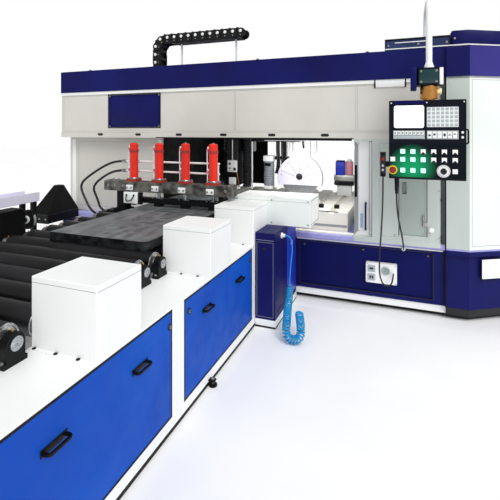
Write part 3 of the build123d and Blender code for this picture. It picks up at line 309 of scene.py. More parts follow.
scale_steel = mill_scale()
cut_edge = mottled("flame-cut plate edge", ("#08080A", "#303236"), (55, 4), (0.4, 0.62), 0.55,
                   (9, 3, (1, 1, 0.08)), 0.8, 0.6, 0.4)
bright_steel = ground_steel("ground steel", "#D4D6D9", 0.22, (1, 0.1, 1))
rod_steel = ground_steel("hard chrome rod", "#E4E6EA", 0.1, (1, 1, 0.1))
blade_steel = ground_steel("saw blade steel", "#C3C6CB", 0.28, (0.15, 1, 1))
zinc = ground_steel("zinc-plated steel", "#D8D6CE", 0.3, (1, 1, 1))
brass = ground_steel("turned brass", "#F0B468", 0.3, (0.2, 0.2, 1), "#D8924A")
sleeve_rubber = mottled("black rubber sleeve", ("#08080A", "#222227"), (220, 5, (0.4, 1, 1)), (0.5, 0.78),
                        (0.3, 0.5), (7, 2, (1, 0.1, 0.1)), 0.3, 0.35)
beam_primer = mottled("worn beige primer", ("#66655F", "#232321"), (70, 6), (0.42, 0.62), 0.55,
                      (12, 3), 0.5, 0.3)
rose_plastic = plastic("rose moulded plastic", "#D8889A", 0.4)
ivory_plastic = plastic("ivory moulded plastic", "#F6E7B4", 0.35)
black_plastic = plastic("black moulded plastic", "#16171A", 0.45)
chain_plastic = plastic("black polyamide", "#0F1012", 0.35)
bellows_cloth = plastic("rubber-coated bellows cloth", "#1B1C20", 0.6, 2, 0.4)
grey_bellows = plastic("grey bellows cloth", "#8E929B", 0.6, 2, 0.4)
hose_rubber = plastic("black hydraulic rubber", "#111214", 0.4, 3, 0.3)
console_plastic = plastic("blue-black console", "#050918", 0.42, more={"Specular IOR Level": 0.2})
teal_film = plastic("dark teal membrane", "#12383C", 0.3)
white_plastic = plastic("white moulded plastic", "#F2F3F2", 0.35)
key_grey = plastic("grey key caps", "#AEB6BA", 0.4)
red_plastic = plastic("red moulded plastic", "#8E1414", 0.25)
yellow_plastic = plastic("yellow moulded plastic", "#F2C21A", 0.35)
blue_hose = plastic("blue polyurethane", "#17A6E2", 0.2, more={
    "Transmission Weight": 0.25, "Subsurface Weight": 0.2, "Subsurface Radius": (0.002, 0.006, 0.01),
    "IOR": 1.5})
green_lamp = lamp("lit green key", "#B4FBE0", 0.6)
white_lamp = lamp("lit lamp glass", "#FFFFFF", 0.7)
floor.data.materials.append(paint("pale floor paint", "#FBFBFB", "#F6F6F6", 0.6))
print("materials:", len(bpy.data.materials))

# %% [markdown]
# ## Ways of making pieces
# Small parts are made from a few kinds of raw form: a block with broken edges, a turned part, a bar
# and a bent tube. Each form is placed in the machine's millimetres and its place is then moved into
# its mesh, so that a finished object sits at the frame's origin. A piece is a name, its slot and rows of
# a material with its forms, which are joined. What comes many times over, such as the trim of a bearing
# or a cylinder, is modelled once and copied.

# %% Forms
ALONG = {"x": (0, radians(90), 0), "y": (radians(90), 0, 0), "z": (0, 0, 0)}
SMOOTH_BELOW = 40
WIRE_SIDES = 12
CORNER_STEPS = 5


def around(middle, half):
    """The two ends of a span, from its middle."""
    return middle - half, middle + half


def circle(across, up, radius, angles):
    """Places on a circle, at angles in degrees."""
    return [(across + radius * cos(radians(a)), up + radius * sin(radians(a))) for a in angles]


def pick(*objects):
    """Make these objects the selection, with the first one active."""
    bpy.ops.object.select_all(action="DESELECT")
    for one in objects:
        one.select_set(True)
    bpy.context.view_layer.objects.active = objects[0]


def settle(obj):
    """Move the object's place and turn into its mesh."""
    pick(obj)
    bpy.ops.object.transform_apply(location=True, rotation=True, scale=True)
    return obj


def modify(obj, kind, **values):
    """Add a modifier and apply it."""
    pick(obj)
    modifier = obj.modifiers.new(kind.lower(), kind)
    for name, value in values.items():
        setattr(modifier, name, value)
    bpy.ops.object.modifier_apply(modifier=modifier.name)
    return obj


def soften(obj, edge, segments=2):
    """Break the sharp edges with a bevel of that many millimetres."""
    if edge:
        modify(obj, "BEVEL", width=edge * MM, segments=segments, limit_method="ANGLE")
    return obj


def slab(x, y, z, edge=0.0):
    """A block between two places along each axis."""
    low, high = at(x[0], y[0], z[0]), at(x[1], y[1], z[1])
    bpy.ops.mesh.primitive_cube_add(size=1, location=(low + high) / 2, scale=high - low)
    return soften(settle(bpy.context.object), edge)


def drum(x, y, z, radius, length, axis="z", sides=32, edge=0.0):
    """A round bar centred on a place."""
    bpy.ops.mesh.primitive_cylinder_add(vertices=sides, radius=radius * MM, depth=length * MM,
                                        location=at(x, y, z), rotation=ALONG[axis])
    return soften(settle(bpy.context.object), edge)


def ring(x, y, z, radius, wire, axis="z", sides=40):
    """A round ring of round wire."""
    bpy.ops.mesh.primitive_torus_add(major_radius=radius * MM, minor_radius=wire * MM, major_segments=sides,
                                     minor_segments=WIRE_SIDES, location=at(x, y, z), rotation=ALONG[axis])
    return settle(bpy.context.object)


def turned(x, y, z, profile, axis="z", sides=40):
    """A turned part: corners of radius and height, spun round an axis through a place."""
    mesh = bpy.data.meshes.new("turned")
    corners = [(radius * MM, 0, height * MM) for radius, height in profile]
    mesh.from_pydata(corners, [(i, i + 1) for i in range(len(corners) - 1)], [])
    made = bpy.data.objects.new("turned", mesh)
    bpy.context.collection.objects.link(made)
    modify(made, "SCREW", angle=2 * pi, steps=sides, render_steps=sides, use_merge_vertices=True,
           merge_threshold=0.01 * MM)
    pick(made)
    bpy.ops.object.mode_set(mode="EDIT")
    bpy.ops.mesh.select_all(action="SELECT")
    bpy.ops.mesh.normals_make_consistent(inside=False)
    bpy.ops.object.mode_set(mode="OBJECT")
    made.location = at(x, y, z)
    made.rotation_euler = ALONG[axis]
    return settle(made)


def rounded(x, y, z, radius):
    """A plate that faces along y, with its four corners rounded."""
    made = slab(x, y, z)
    pick(made)
    bpy.ops.object.mode_set(mode="EDIT")
    bpy.ops.mesh.select_mode(type="EDGE")
    bpy.ops.mesh.select_all(action="DESELECT")
    bpy.ops.object.mode_set(mode="OBJECT")
    for edge in made.data.edges:
        first, second = (made.data.vertices[i].co for i in edge.vertices)
        edge.select = abs(first.y - second.y) > 0.1 * MM
    bpy.ops.object.mode_set(mode="EDIT")
    bpy.ops.mesh.bevel(offset=radius * MM, segments=CORNER_STEPS, affect="EDGES")
    bpy.ops.object.mode_set(mode="OBJECT")
    return made


def route(name, points, radius, order=3, fine=4):
    """A NURBS curve through the room, with places in metres as its control points."""
    curve = bpy.data.curves.new(name, "CURVE")
    curve.dimensions = "3D"
    curve.resolution_u = fine
    spline = curve.splines.new("NURBS")
    spline.points.add(len(points) - 1)
    for made, point in zip(spline.points, points):
        made.co = (*point, 1)
    spline.order_u = order
    spline.use_endpoint_u = True
    curve.bevel_depth = radius
    curve.bevel_resolution = 4
    curve.use_fill_caps = True
    made = bpy.data.objects.new(name, curve)
    bpy.context.collection.objects.link(made)
    return made


def tube(points, radius, order=3):
    """A bent tube along places in millimetres."""
    made = route("tube", [at(*point) for point in points], radius * MM, order, 6)
    pick(made)
    bpy.ops.object.convert(target="MESH")
    return bpy.context.object


def of(material, *objects):
    """Give raw forms their material."""
    for one in objects:
        one.data.materials.clear()
        one.data.materials.append(material)
    return objects[0]


def fitted(*rows):
    """Forms in one list. A row is a material and its forms, or a list of forms that have theirs."""
    forms = []
    for row in rows:
        if isinstance(row, tuple):
            of(*row)
            row = row[1:]
        forms += row
    return forms


def every(make, rows):
    """What a maker gives for each row of its sizes, in one list."""
    return [form for row in rows for form in make(*row)]


def joined(forms):
    """One form out of many. It keeps their materials."""
    pick(*forms)
    if len(forms) > 1:
        bpy.ops.object.join()
    return bpy.context.object


def copied(obj, places):
    """Copies of a form, each with its own mesh, moved by millimetres. The form itself goes."""
    made = []
    for place in places:
        twin = obj.copy()
        twin.data = obj.data.copy()
        twin.data.transform(Matrix.Translation(Vector(place) * MM))
        bpy.context.collection.objects.link(twin)
        made.append(twin)
    bpy.data.objects.remove(obj)
    return made


def swing(form, angle, axis, start, end):
    """Turn a form by degrees about an axis through one place, and carry that place to another."""
    for step in (Matrix.Translation(-at(*start)), Matrix.Rotation(radians(angle), 4, axis),
                 Matrix.Translation(at(*end))):
        form.data.transform(step)
    return form


def turned_to(forms, turn):
    """Turn forms about an upright line: its x, its y and the degrees."""
    x, y, angle = turn
    return [swing(form, angle, "Z", (x, y, 0), (x, y, 0)) for form in forms]


def piece(name, slot, *rows, body="machine"):
    """Join rows of forms into one named piece that moves with a body. The slot is not used."""
    made = joined(fitted(*rows))
    made.name = name
    made.data.name = name
    pick(made)
    bpy.ops.object.shade_smooth_by_angle(angle=radians(SMOOTH_BELOW))
    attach(made, body)
    return made


def hex_bolt(x, y, z, size, axis):
    """A hexagon head on a washer, facing along an axis. Size is the thread's diameter."""
    turn = ALONG[axis]
    head = drum(x, y, z, size * 0.9, size * 0.65, axis, 6, size * 0.08)
    washer = drum(x, y, z, size * 1.15, size * 0.2, axis, 24)
    shift = Matrix.Rotation(turn[1], 3, "Y") @ Matrix.Rotation(turn[0], 3, "X") @ Vector((0, 0, 1))
    head.data.transform(Matrix.Translation(shift * size * 0.4 * MM))
    return joined(fitted((zinc, head, washer)))


def button(x, y, z, radius, height):
    """A low round cap with a chamfer, on a face that looks to -y."""
    return turned(x, y, z, [(0, 0), (radius, 0), (radius - 1, height), (0, height)], "y")


def screw(x, y, z, radius, shoulder, height, bore):
    """A domed screw head with a socket, on a face that looks to -y."""
    return turned(x, y, z, [(0, 0), (radius, 0), (shoulder, height), (bore, height + 1), (bore, height - 1),
                            (0, height - 1)], "y")


def cup(x, y, z, radius):
    """The cup of a quarter-turn latch, on a face that looks to -y."""
    rim = [(0, 0), (radius, 0), (radius - 2, 4), (radius - 5, 4), (radius - 6, 2), (0, 2)]
    return turned(x, y, z, rim, "y")


def sleeve(inner, outer, half):
    """The profile of a short sleeve about its middle."""
    return [(inner, -half), (outer, -half), (outer, half), (inner, half), (inner, -half)]


def frame_strips(x, y, z, width, faces_y=True):
    """Four strips round a flat panel that faces -y, or else +x. Its own axis gives the strips' two faces."""
    wide = x if faces_y else y
    ends = (wide[0], wide[0] + width), (wide[1] - width, wide[1])
    level = [slab(x, y, (z[0], z[0] + width)), slab(x, y, (z[1] - width, z[1]))]
    return level + [slab(end, y, z) if faces_y else slab(x, end, z) for end in ends]


def grid(make, xs, y, zs, *sizes):
    """The same form at every x and z of a grid that faces -y."""
    return [make(x, y, z, *sizes) for x in xs for z in zs]


print("forms ready")

# %% [markdown]
# ## Hoses and cables
# Everything that hangs follows a route of a few points, drawn as one smooth line. The control panel
# has two rubber cables to the sockets on the base. The clamp has two hydraulic hoses from its supply
# pipes down to the far side of the conveyor. The air hose leaves the cabinet straight, hangs, and then
# coils: its recoil part is a helix of about forty turns round a looped line, as it hangs on its ring.

# %% Hoses and cables
CABLE_R = 0.006
HYDRAULIC_R = 0.011
AIR_R = 0.005
COIL_R = 0.032
COIL_PITCH = 0.0175
COIL_STEPS = 14


def places(*points):
    return [at(*point) for point in points]


CABLE_1 = places((923, -320, 1154.7), (922, -318, 1010), (916, -295, 855), (906, -245, 700),
                 (893, -190, 560), (886, -150, 440), (888, -142, 335), (915, -134, 256), (975, -128, 256),
                 (990, -125, 325), (990, -40, 325))
CABLE_2 = places((1020, -300, 1024.7), (1021, -298, 930), (1036, -250, 800), (1056, -170, 685),
                 (1066, -95, 596), (1068, -40, 529.5), (1068, -8, 529.5))
HYDRAULIC_1 = places((-1395, -378.5, 1215), (-1480, -378.5, 1215), (-1620, -384, 1180), (-1870, -392, 1035),
                     (-1930, -398, 960), (-1885, -406, 870), (-1760, -416, 690), (-1650, -416, 690))
HYDRAULIC_2 = places((-1395, -378.5, 1126), (-1480, -378.5, 1126), (-1620, -352, 1090), (-1780, -335, 1000),
                     (-1840, -325, 925), (-1795, -315, 835), (-1760, -300, 700), (-1650, -300, 700))
AIR_LEAD = places((190, -460, 670), (226, -460, 670), (246, -462, 630), (250, -466, 560), (240, -470, 460),
                  (232, -474, 370), (232, -478, 290))
AIR_COIL = places((232, -478, 290), (232, -478, 225), (255, -620, 150), (288, -765, 120), (292, -800, 34),
                  (395, -800, 34), (398, -775, 130), (350, -650, 165))


def line_of(points):
    """The smooth line of a route, as points read from its spline."""
    guide = route("guide", points, 0, fine=24)
    mesh = bpy.data.meshes.new_from_object(guide)
    line = [vertex.co.copy() for vertex in mesh.vertices]
    bpy.data.objects.remove(guide)
    return line


def length_of(line):
    return sum((b - a).length for a, b in zip(line, line[1:]))


def along(line, distance):
    """The point at a distance along a line, and the line's direction there."""
    for a, b in zip(line, line[1:]):
        step = (b - a).length
        if distance <= step:
            return a + (b - a) * (distance / step), (b - a).normalized()
        distance -= step
    return line[-1], (line[-1] - line[-2]).normalized()


def helix(points, radius, pitch, steps):
    """A helix of an outer radius round a route, without twist, that starts on its line."""
    line = line_of(points)
    whole = length_of(line)
    turns = int(whole / pitch)
    side = Vector((1, 0, 0))
    made = []
    for i in range(turns * steps + 1):
        share = i / (turns * steps)
        centre, ahead = along(line, share * whole)
        side = (side - ahead * side.dot(ahead)).normalized()
        up = ahead.cross(side)
        grow = min(1, share * turns, (1 - share) * turns)
        angle = 2 * pi * i / steps
        made.append(centre + (side * cos(angle) + up * sin(angle)) * radius * grow)
    return made


def hang(name, points, radius, node_names, material):
    """A free cord on the machine: a curve along its route that replaces its rigid stand-ins."""
    made = route(name, points, radius)
    made.data.materials.append(material)
    length = length_of(line_of(points))
    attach(made, "machine")
    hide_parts(*node_names)
    print(name, round(length, 2), "m")


air_points = AIR_LEAD[:-1] + helix(AIR_COIL, COIL_R - AIR_R, COIL_PITCH, COIL_STEPS)
hang("air_hose", air_points, AIR_R, ["hose_lead", "hose_coil"], blue_hose)
for name, points, radius, node in (("supply_hose_1", HYDRAULIC_1, HYDRAULIC_R, "hydraulic_hose_1"),
                                   ("supply_hose_2", HYDRAULIC_2, HYDRAULIC_R, "hydraulic_hose_2"),
                                   ("panel_cable_1", CABLE_1, CABLE_R, "cable_1"),
                                   ("panel_cable_2", CABLE_2, CABLE_R, "cable_2")):
    hang(name, points, radius, [node], hose_rubber)

# %% [markdown]
# ## Finishes of the rigid pieces
# Each rigid piece gets a base material. Where one piece has two finishes, such as a rubber sleeve on a
# steel shaft, or where light and shade are painted on its faces, such as the lavender reflection on the
# navy base's ledge, a rule picks the faces by their place and direction.
# Only the faces' material changes, never their shape.

# %% Finish the rigid pieces
SKIRT_LOW, SKIRT_TOP = 40, 98
LEDGE_LOW, LEDGE_TOP = 545, 594
TABLE_TOP = 767
ROLLER_Z = 705
SLEEVE_X = (-1515, -335)
MOTOR_SIDE = -1640
MOTOR_FACE = (-1705, 802)
CARRIAGE_TOP = 1421
PLAIN = ((white_coat, "frame_right frame_left cross_beams drive_covers control_arm hose_fitting socket_box"),
         (blue_enamel, "side_panel_1 side_panel_2"), (black_coat, "panel_handles hopper"),
         (navy_enamel, "side_cabinet"), (blade_steel, "saw_blade"), (pale_lavender_coat, "saw_guard"),
         (bright_steel, "milling_spindle"), (chain_plastic, "energy_chain"),
         (console_plastic, "swivel_block"), (red_plastic, "emergency_stop"))


def dress(name, base, *rules):
    """Give a node its material, and other materials to the faces that a rule picks."""
    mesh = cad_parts[name].data
    mesh.materials.clear()
    mesh.materials.append(base)
    for number, (material, rule) in enumerate(rules, start=1):
        mesh.materials.append(material)
        for face in mesh.polygons:
            if rule(*mm(face.center), face.normal):
                face.material_index = number


def is_sleeve(x, y, z, normal):
    return SLEEVE_X[0] + 2 < x < SLEEVE_X[1] - 2 and abs(normal.x) < 0.5


def is_motor_face(x, y, z, normal):
    return x < MOTOR_SIDE and y > -1220 and (x - MOTOR_FACE[0]) ** 2 + (z - MOTOR_FACE[1]) ** 2 < 32 ** 2


for base, names in PLAIN:
    for name in names.split():
        dress(name, base)
for name in [f"roller_{number}" for number in range(1, 9)] + ["rollers_under_plate"]:
    dress(name, bright_steel, (sleeve_rubber, is_sleeve))
# The end cover's front faces take the greyer coat as painted shade.
dress("end_cover", white_coat, (module_coat, lambda x, y, z, n: n.y < -0.95))
dress("bearing_blocks", black_coat, (zinc, lambda x, y, z, n: x < -1480 and z > 722))
dress("levelling_feet", black_plastic, (zinc, lambda x, y, z, n: z > 12))
dress("drive_motors", grey_machine_paint, (black_coat, lambda x, y, z, n: x < MOTOR_SIDE),
      (white_coat, is_motor_face))
dress("workpiece_plate", scale_steel, (cut_edge, lambda x, y, z, n: abs(n.z) < 0.5))
dress("clamp_portal", beam_primer, (black_coat, lambda x, y, z, n: z < 949 or (x < -1340 and z < 951)))
dress("clamp_cylinders", red_enamel, (dark_red_enamel, lambda x, y, z, n: z < 1064 or 1305 < z < 1332))
dress("clamp_bar", black_coat, (rod_steel, lambda x, y, z, n: z > 899))
dress("manifold_pipes", white_coat, (black_coat, lambda x, y, z, n: x < -1580))
# The lavender band on the ledge is painted reflection of the sky on the navy base's upward faces.
dress("machine_base", navy_enamel,
      (indigo_enamel, lambda x, y, z, n: 26 < y < 40 and 125 < z < 520),
      (lavender_and_painted_sheen, lambda x, y, z, n: LEDGE_LOW - 1 < z < LEDGE_TOP + 1 and y < 400),
      (white_coat, lambda x, y, z, n: z < SKIRT_TOP - 1),
      (black_plastic, lambda x, y, z, n: z < SKIRT_LOW + 1),
      (table_coat, lambda x, y, z, n: z > LEDGE_TOP + 1))
# The lavender on the right base's top is painted reflection of the sky on its upward faces.
dress("right_base", navy_enamel, (lavender_and_painted_sheen, lambda x, y, z, n: z > 556),
      (black_plastic, lambda x, y, z, n: z < SKIRT_TOP - 1))
# The pillar's inner face is painted black as the shade inside the throat.
dress("left_pillar", cream_coat, (black_coat, lambda x, y, z, n: n.x > 0.9))
dress("right_column", grey_green_coat,
      (white_plastic, lambda x, y, z, n: y < -1 and 680 < z < 730 and x > 1255),
      (zinc, lambda x, y, z, n: y < -0.5 and x < 1250))
# The right body's front faces take the darker grey-green as painted shade; its lit facet stays pale.
dress("right_body", module_coat, (grey_green_coat, lambda x, y, z, n: n.y < -0.95))
# The strip under the band along the front's top edge is white as a painted highlight.
dress("upper_enclosure", cream_coat, (navy_enamel, lambda x, y, z, n: 9 < y < 18 and 1541 < z < 1885),
      (white_coat, lambda x, y, z, n: (39 < y < 1712 and -1318 < x < 663) or (y < 8 and z > 1899)))
# The band's turned facet is violet-blue as painted light.
dress("top_band", navy_enamel, (painted_light_violet, lambda x, y, z, n: n.y < -0.8 and n.x > 0.4))
dress("roof_fittings", slate_blue_coat, (white_coat, lambda x, y, z, n: x < -500),
      (black_coat, lambda x, y, z, n: x < -500 and z > 2510), (navy_enamel, lambda x, y, z, n: x > 1425))
dress("gantry_beam", grey_machine_paint, (bright_steel, lambda x, y, z, n: y < 799))
dress("saw_carriage", white_coat, (bellows_cloth, lambda x, y, z, n: x < -130 and z < CARRIAGE_TOP))
dress("saw_head", white_coat, (black_coat, lambda x, y, z, n: y > 760))
dress("mill_carriage", grey_machine_paint, (bellows_cloth, lambda x, y, z, n: z < CARRIAGE_TOP and y < 725))
dress("mill_ram", black_coat, (white_coat, lambda x, y, z, n: z < 996))
dress("sliding_door", grey_machine_paint, (white_coat, lambda x, y, z, n: x > 700),
      (indigo_enamel, lambda x, y, z, n: y < 37 and 740 < x < 790))
dress("access_door", moss_grey_coat, (zinc, lambda x, y, z, n: y < 1.9 and x > 1200))
dress("control_panel", console_plastic, (brass, lambda x, y, z, n: 1727 < z < 1833))
dress("panel_keys", key_grey, (white_plastic, lambda x, y, z, n: z < 1440 or (z > 1528 and y > -353.5)))
dress("override_knob", white_plastic, (black_plastic, lambda x, y, z, n: y < -357))
print("finished nodes:", sum(bool(node.data.materials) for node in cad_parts.values()))

# %% [markdown]
# ## Conveyor details
# The rollers turn in bearing blocks that are bolted to the rails. Each block has two bolts, a grease
# nipple and two shaft collars. The blue panels lift off: they have black edging, whose top strip is also
# painted shade under the rail, bar handles on black plates that are painted shade behind the bars, and
# quarter-turn latches beside the posts. The white covers are folded boxes with a lid seam painted as a
# grey shade line, and button screws on their front flange. A black strip under the operator's rail is
# painted shadow in the gap above the floor, and the rail stands on two more feet between its posts.

# %% Conveyor details
ROLLER_YS = [-2805 + 165 * i for i in range(13)] + [-600]
DRIVEN_ROLLERS = 8
BEARING_XS = (-300, -1553)
RAIL_TOP = 625
FOOT_TOP = 643
PANELS = [(-2826, -1834), (-1716, -705)]
PANEL_Z = (80.5, 614.5)
EDGING = 10
HANDLE_YS = (-2564, -2096, -1454, -967)
HANDLE_Z = 470
LATCH_YS = (-1855, -1664, -2800, -735)
LATCH_Z = 536
COVERS = [(-2364, -2084), (-1405, -1100), (-670, -343)]
COVER_TOP = 914
COVER_FAR = -331
POST_YS = (-2885, -1775, -670)
FEET_XS = (-40, -291, -1552.5, -1617.5)
SHADE_STRIP_YS = (-2880, -640)
BOTTOM_RAIL = 25
SIDE_FEET = (-2435, -1420)
SIDE_FOOT_X = 24


def bearing_trim():
    """Bolts, nipple and shaft collars for one bearing block, copied to all of them."""
    x, y = BEARING_XS[0], ROLLER_YS[0]
    return joined(fitted([hex_bolt(x, y + dy, FOOT_TOP + 1, 10, "z") for dy in (-40, 40)],
                         (brass, drum(x, y, ROLLER_Z + 44, 4, 14, "z", 16, 1)),
                         (bright_steel, *[turned(x + dx, y, ROLLER_Z, sleeve(17.6, 27, 3), "x")
                                          for dx in (-23, 23)])))


def latch(y, z):
    """A quarter-turn latch on a face that looks to +x: a black cup with a slotted steel key."""
    return fitted((black_plastic, turned(1, y, z, [(0, 2), (9, 2), (10, 5), (15, 5), (17, 0), (0, 0)], "x")),
                  (zinc, drum(4.5, y, z, 8, 4, "x", 24, 1)),
                  (black_plastic, slab((5.5, 7), around(y, 7), around(z, 1.5))))


def cover_trim(front, back):
    """A lid seam round a cover, painted as a grey shade line, and button screws on its front flange."""
    wide, deep, z = (COVER_FAR + 4, -4), (front + 4, back - 4), (COVER_TOP - 25, COVER_TOP - 23)
    button = [(0, 0), (8, 0), (7.4, 3), (4, 5), (3.2, 5), (3.2, 2.5), (0, 2.5)]
    return fitted((shadow_grey, slab(wide, (front - 0.4, front + 0.5), z), slab((-0.5, 0.4), deep, z),
                   slab(wide, (back - 0.5, back + 0.4), z),
                   slab((COVER_FAR - 0.4, COVER_FAR + 0.5), deep, z)),
                  (black_coat, *[turned(x, front - 8, RAIL_TOP + 3, button) for x in (-307, -195, -83)]))


def shaft_ends(name, body, y):
    """The end cap inside a roller's tube with its screws, and the shaft's centre hole."""
    inside = SLEEVE_X[1]
    cap = turned(inside - 6, y, ROLLER_Z,
                 [(18, 0), (52, 0), (52, 2), (46, 4), (24, 4), (20, 8), (18, 8), (18, 0)], "x")
    screws = [drum(inside - 3, across, up, 4.5, 5, "x", 16, 0.8)
              for across, up in circle(y, ROLLER_Z, 34, range(0, 360, 60))]
    piece(name, "bare_steel", (zinc, cap, ring(-274.6, y, ROLLER_Z, 6, 1.2, "x", 20), *screws), body=body)


piece("bearing_trim", "bare_steel",
      copied(bearing_trim(), [(x - BEARING_XS[0], y - ROLLER_YS[0], 0)
                              for x in BEARING_XS for y in ROLLER_YS]))
# The edging's top strip is also painted shade under the rail.
piece("panel_edging_and_rail_shade", "black_rubber",
      (black_coat, *every(frame_strips, [((0, 1.2), panel, PANEL_Z, EDGING, False) for panel in PANELS])))
piece("panel_latches", "black_plastic", every(latch, [(y, LATCH_Z) for y in LATCH_YS]))
# The black plates behind the handles are painted shade.
piece("handle_shade_plates", "black_plastic",
      (black_coat, *[slab((0, 3), around(y, 57), around(HANDLE_Z, 13), 1.5) for y in HANDLE_YS]))
piece("cover_trim", "black_plastic", every(cover_trim, COVERS))
nut = of(zinc, drum(FEET_XS[0], POST_YS[0], 19, 17, 9, "z", 6, 1))
piece("foot_nuts", "bare_steel",
      copied(nut, [(x - FEET_XS[0], y - POST_YS[0], 0) for x in FEET_XS for y in POST_YS]))

# The black strip under the rail is painted shadow in the gap above the floor.
shade_strip_and_feet = [slab((-4, -1), SHADE_STRIP_YS, (2, BOTTOM_RAIL))]
for y in SIDE_FEET:
    shade_strip_and_feet += [drum(SIDE_FOOT_X, y, 6, 25, 12, edge=3), slab((-1, 40), around(y, 16), (30, 38), 1.5)]
piece("under_rail_shade_and_feet", "black_rubber", (black_coat, *shade_strip_and_feet),
      (zinc, *[drum(SIDE_FOOT_X, y, 28, 6, 34, sides=20) for y in SIDE_FEET],
       *[drum(SIDE_FOOT_X, y, 41, 10, 6, sides=6) for y in SIDE_FEET]))

for number, y in enumerate(ROLLER_YS, start=1):
    if number <= DRIVEN_ROLLERS:
        shaft_ends(f"roller_{number}_end", f"roller_{number}_body", y)
    else:
        shaft_ends(f"plate_roller_end_{-y}", "machine", y)
print("conveyor pieces done")

# %% [markdown]
# ## Clamp details
# Four red cylinders stand on the clamp's beam. Each has four flange bolts, a gland ring and banjo
# fittings on its supply pipes, and a thin white pipe that runs up its left side to the head. Guide
# blocks are bolted to the beam's front, guide rings hang under it round the rods, and a white valve box
# hangs beside the black leg.

# %% Clamp details
CYLINDER_XS = [-1259 + 270 * i for i in range(4)]
CLAMP_Y = -442
BEAM_FRONT = CLAMP_Y - 60
BEAM_LOW, BEAM_TOP = 950, 1040
FLANGE_TOP = BEAM_TOP + 22
BARREL_R = 37.5
BARREL_TOP = 1390
MANIFOLD_Y = CLAMP_Y + BARREL_R + 26
MANIFOLD_ZS = (1126, 1215)
BAR_TOP = 897
VALVE_PORTS = (-1280, -1200)


def cylinder_trim():
    """Everything bolted to one cylinder."""
    x, y = CYLINDER_XS[0], CLAMP_Y - 4
    side, head = x - BARREL_R - 16, BARREL_TOP - 34
    crown = [(24, 10), (30, 10), (34, 4), (38.2, 0), (38.2, -14), (37, -14), (24, 10)]
    gland = [(37, 0), (44, 0), (44, 6), (40, 12), (37, 12), (37, 0)]
    pipe = [(side, y, FLANGE_TOP - 14), (side, y, FLANGE_TOP + 120), (side - 4, y, BARREL_TOP - 90),
            (side, y, head), (x - BARREL_R + 6, y, head)]
    forms = fitted([hex_bolt(x + dx, CLAMP_Y + dy, FLANGE_TOP + 1.5, 10, "z")
                    for dx in (-38, 38) for dy in (-38, 38)],
                   (red_enamel, turned(x, CLAMP_Y, BARREL_TOP - 12, crown)),
                   (bright_steel, turned(x, CLAMP_Y, FLANGE_TOP, gland),
                    drum(x, CLAMP_Y, BARREL_TOP + 3, 9, 10, "z", 6, 1)),
                   (white_plastic, tube(pipe, 5)))
    for z in (head, 1165):
        forms += fitted((white_coat, drum(x - BARREL_R - 3, y, z, 11, 22, "x", 6, 1)),
                        (rose_plastic, drum(side, y, z - 20, 8.5, 22, "z", 20, 2)))
    for z in MANIFOLD_ZS:
        forms += fitted((zinc, drum(x, MANIFOLD_Y, z, 14, 22, "x", 6, 1),
                         drum(x, MANIFOLD_Y - 14, z, 12, 8, "y", 6, 1)),
                        (white_coat, drum(x - 24, MANIFOLD_Y, z, 11.5, 14, "x", 20, 1)))
    return joined(forms)


def clamp_head(x):
    """A guide block on the beam's front and a guide ring under it."""
    return fitted((white_coat, slab(around(x, 34), (BEAM_FRONT - 16, BEAM_FRONT), (965, 1012), 3),
                   turned(x, CLAMP_Y, BEAM_LOW - 6, [(32, 0), (37, 0), (39, 2), (39, 6), (32, 6), (32, 0)])),
                  grid(hex_bolt, around(x, 22), BEAM_FRONT - 17, (988,), 8, "y"))


piece("cylinder_trim", "bare_steel",
      copied(cylinder_trim(), [(x - CYLINDER_XS[0], 0, 0) for x in CYLINDER_XS]))
piece("clamp_heads", "white_paint", every(clamp_head, [(x,) for x in CYLINDER_XS]))
left, right = VALVE_PORTS
piece("clamp_valve", "white_paint",
      (white_coat, slab((-1314, -1166), (BEAM_FRONT - 22, BEAM_FRONT), (846, 948), 4)),
      (black_coat, slab((-1160, -1118), (BEAM_FRONT - 18, BEAM_FRONT), (842, 950), 3)),
      (black_plastic, *grid(drum, VALVE_PORTS, BEAM_FRONT - 26, (922,), 8, 10, "y", 20, 1)),
      (hose_rubber, tube([(left, BEAM_FRONT - 26, 915), (left, BEAM_FRONT - 40, 880),
                          (left + 30, BEAM_FRONT - 46, 868), (right - 15, BEAM_FRONT - 40, 880),
                          (right, BEAM_FRONT - 26, 915)], 5)))
piece("beam_bolts", "bare_steel",
      grid(hex_bolt, (-1500, -1420, -1330, -310), BEAM_FRONT - 1, (1000,), 12, "y"),
      [hex_bolt(x, CLAMP_Y + dy, BEAM_TOP + 1.5, 12, "z") for x in (-1520, -1460, -290) for dy in (-34, 34)])
piece("clamp_bar_screws", "bare_steel",
      (zinc, *[turned(x + dx, CLAMP_Y - 34, BAR_TOP, [(0, 0), (7, 0), (7, 6), (4, 6), (4, 2), (0, 2)])
               for x in CYLINDER_XS for dx in (-46, 46) if x + dx < -400]), body="clamp")

hose_ends = []
for points in (HYDRAULIC_1, HYDRAULIC_2):
    for near, far in ((points[0], points[1]), (points[-1], points[-2])):
        x, y, z = mm(near)
        turn = 1 if far.x > near.x else -1
        hose_ends += [turned(x + turn * 22, y, z, sleeve(11.2, 14, 22), "x"),
                      drum(x + turn * 7, y, z, 17, 12, "x", 6, 1)]
piece("supply_hose_ends", "bare_steel", (zinc, *hose_ends))
print("clamp pieces done")

# %% [markdown]
# ## Front of the machine
# The base has large inset panels with black edging, a white line of painted highlight under the ledge,
# whose lavender is painted reflection, and quarter-turn latches. The hood is folded sheet with seams, a
# row of oval drain plugs along its lower lip, a framed navy panel and a lamp under the band. A dark
# gasket closes the joint to the module. The side cabinet has a plinth over a black strip of painted
# shadow and a seamed lid, and a bright blue strip on its right face is painted highlight.

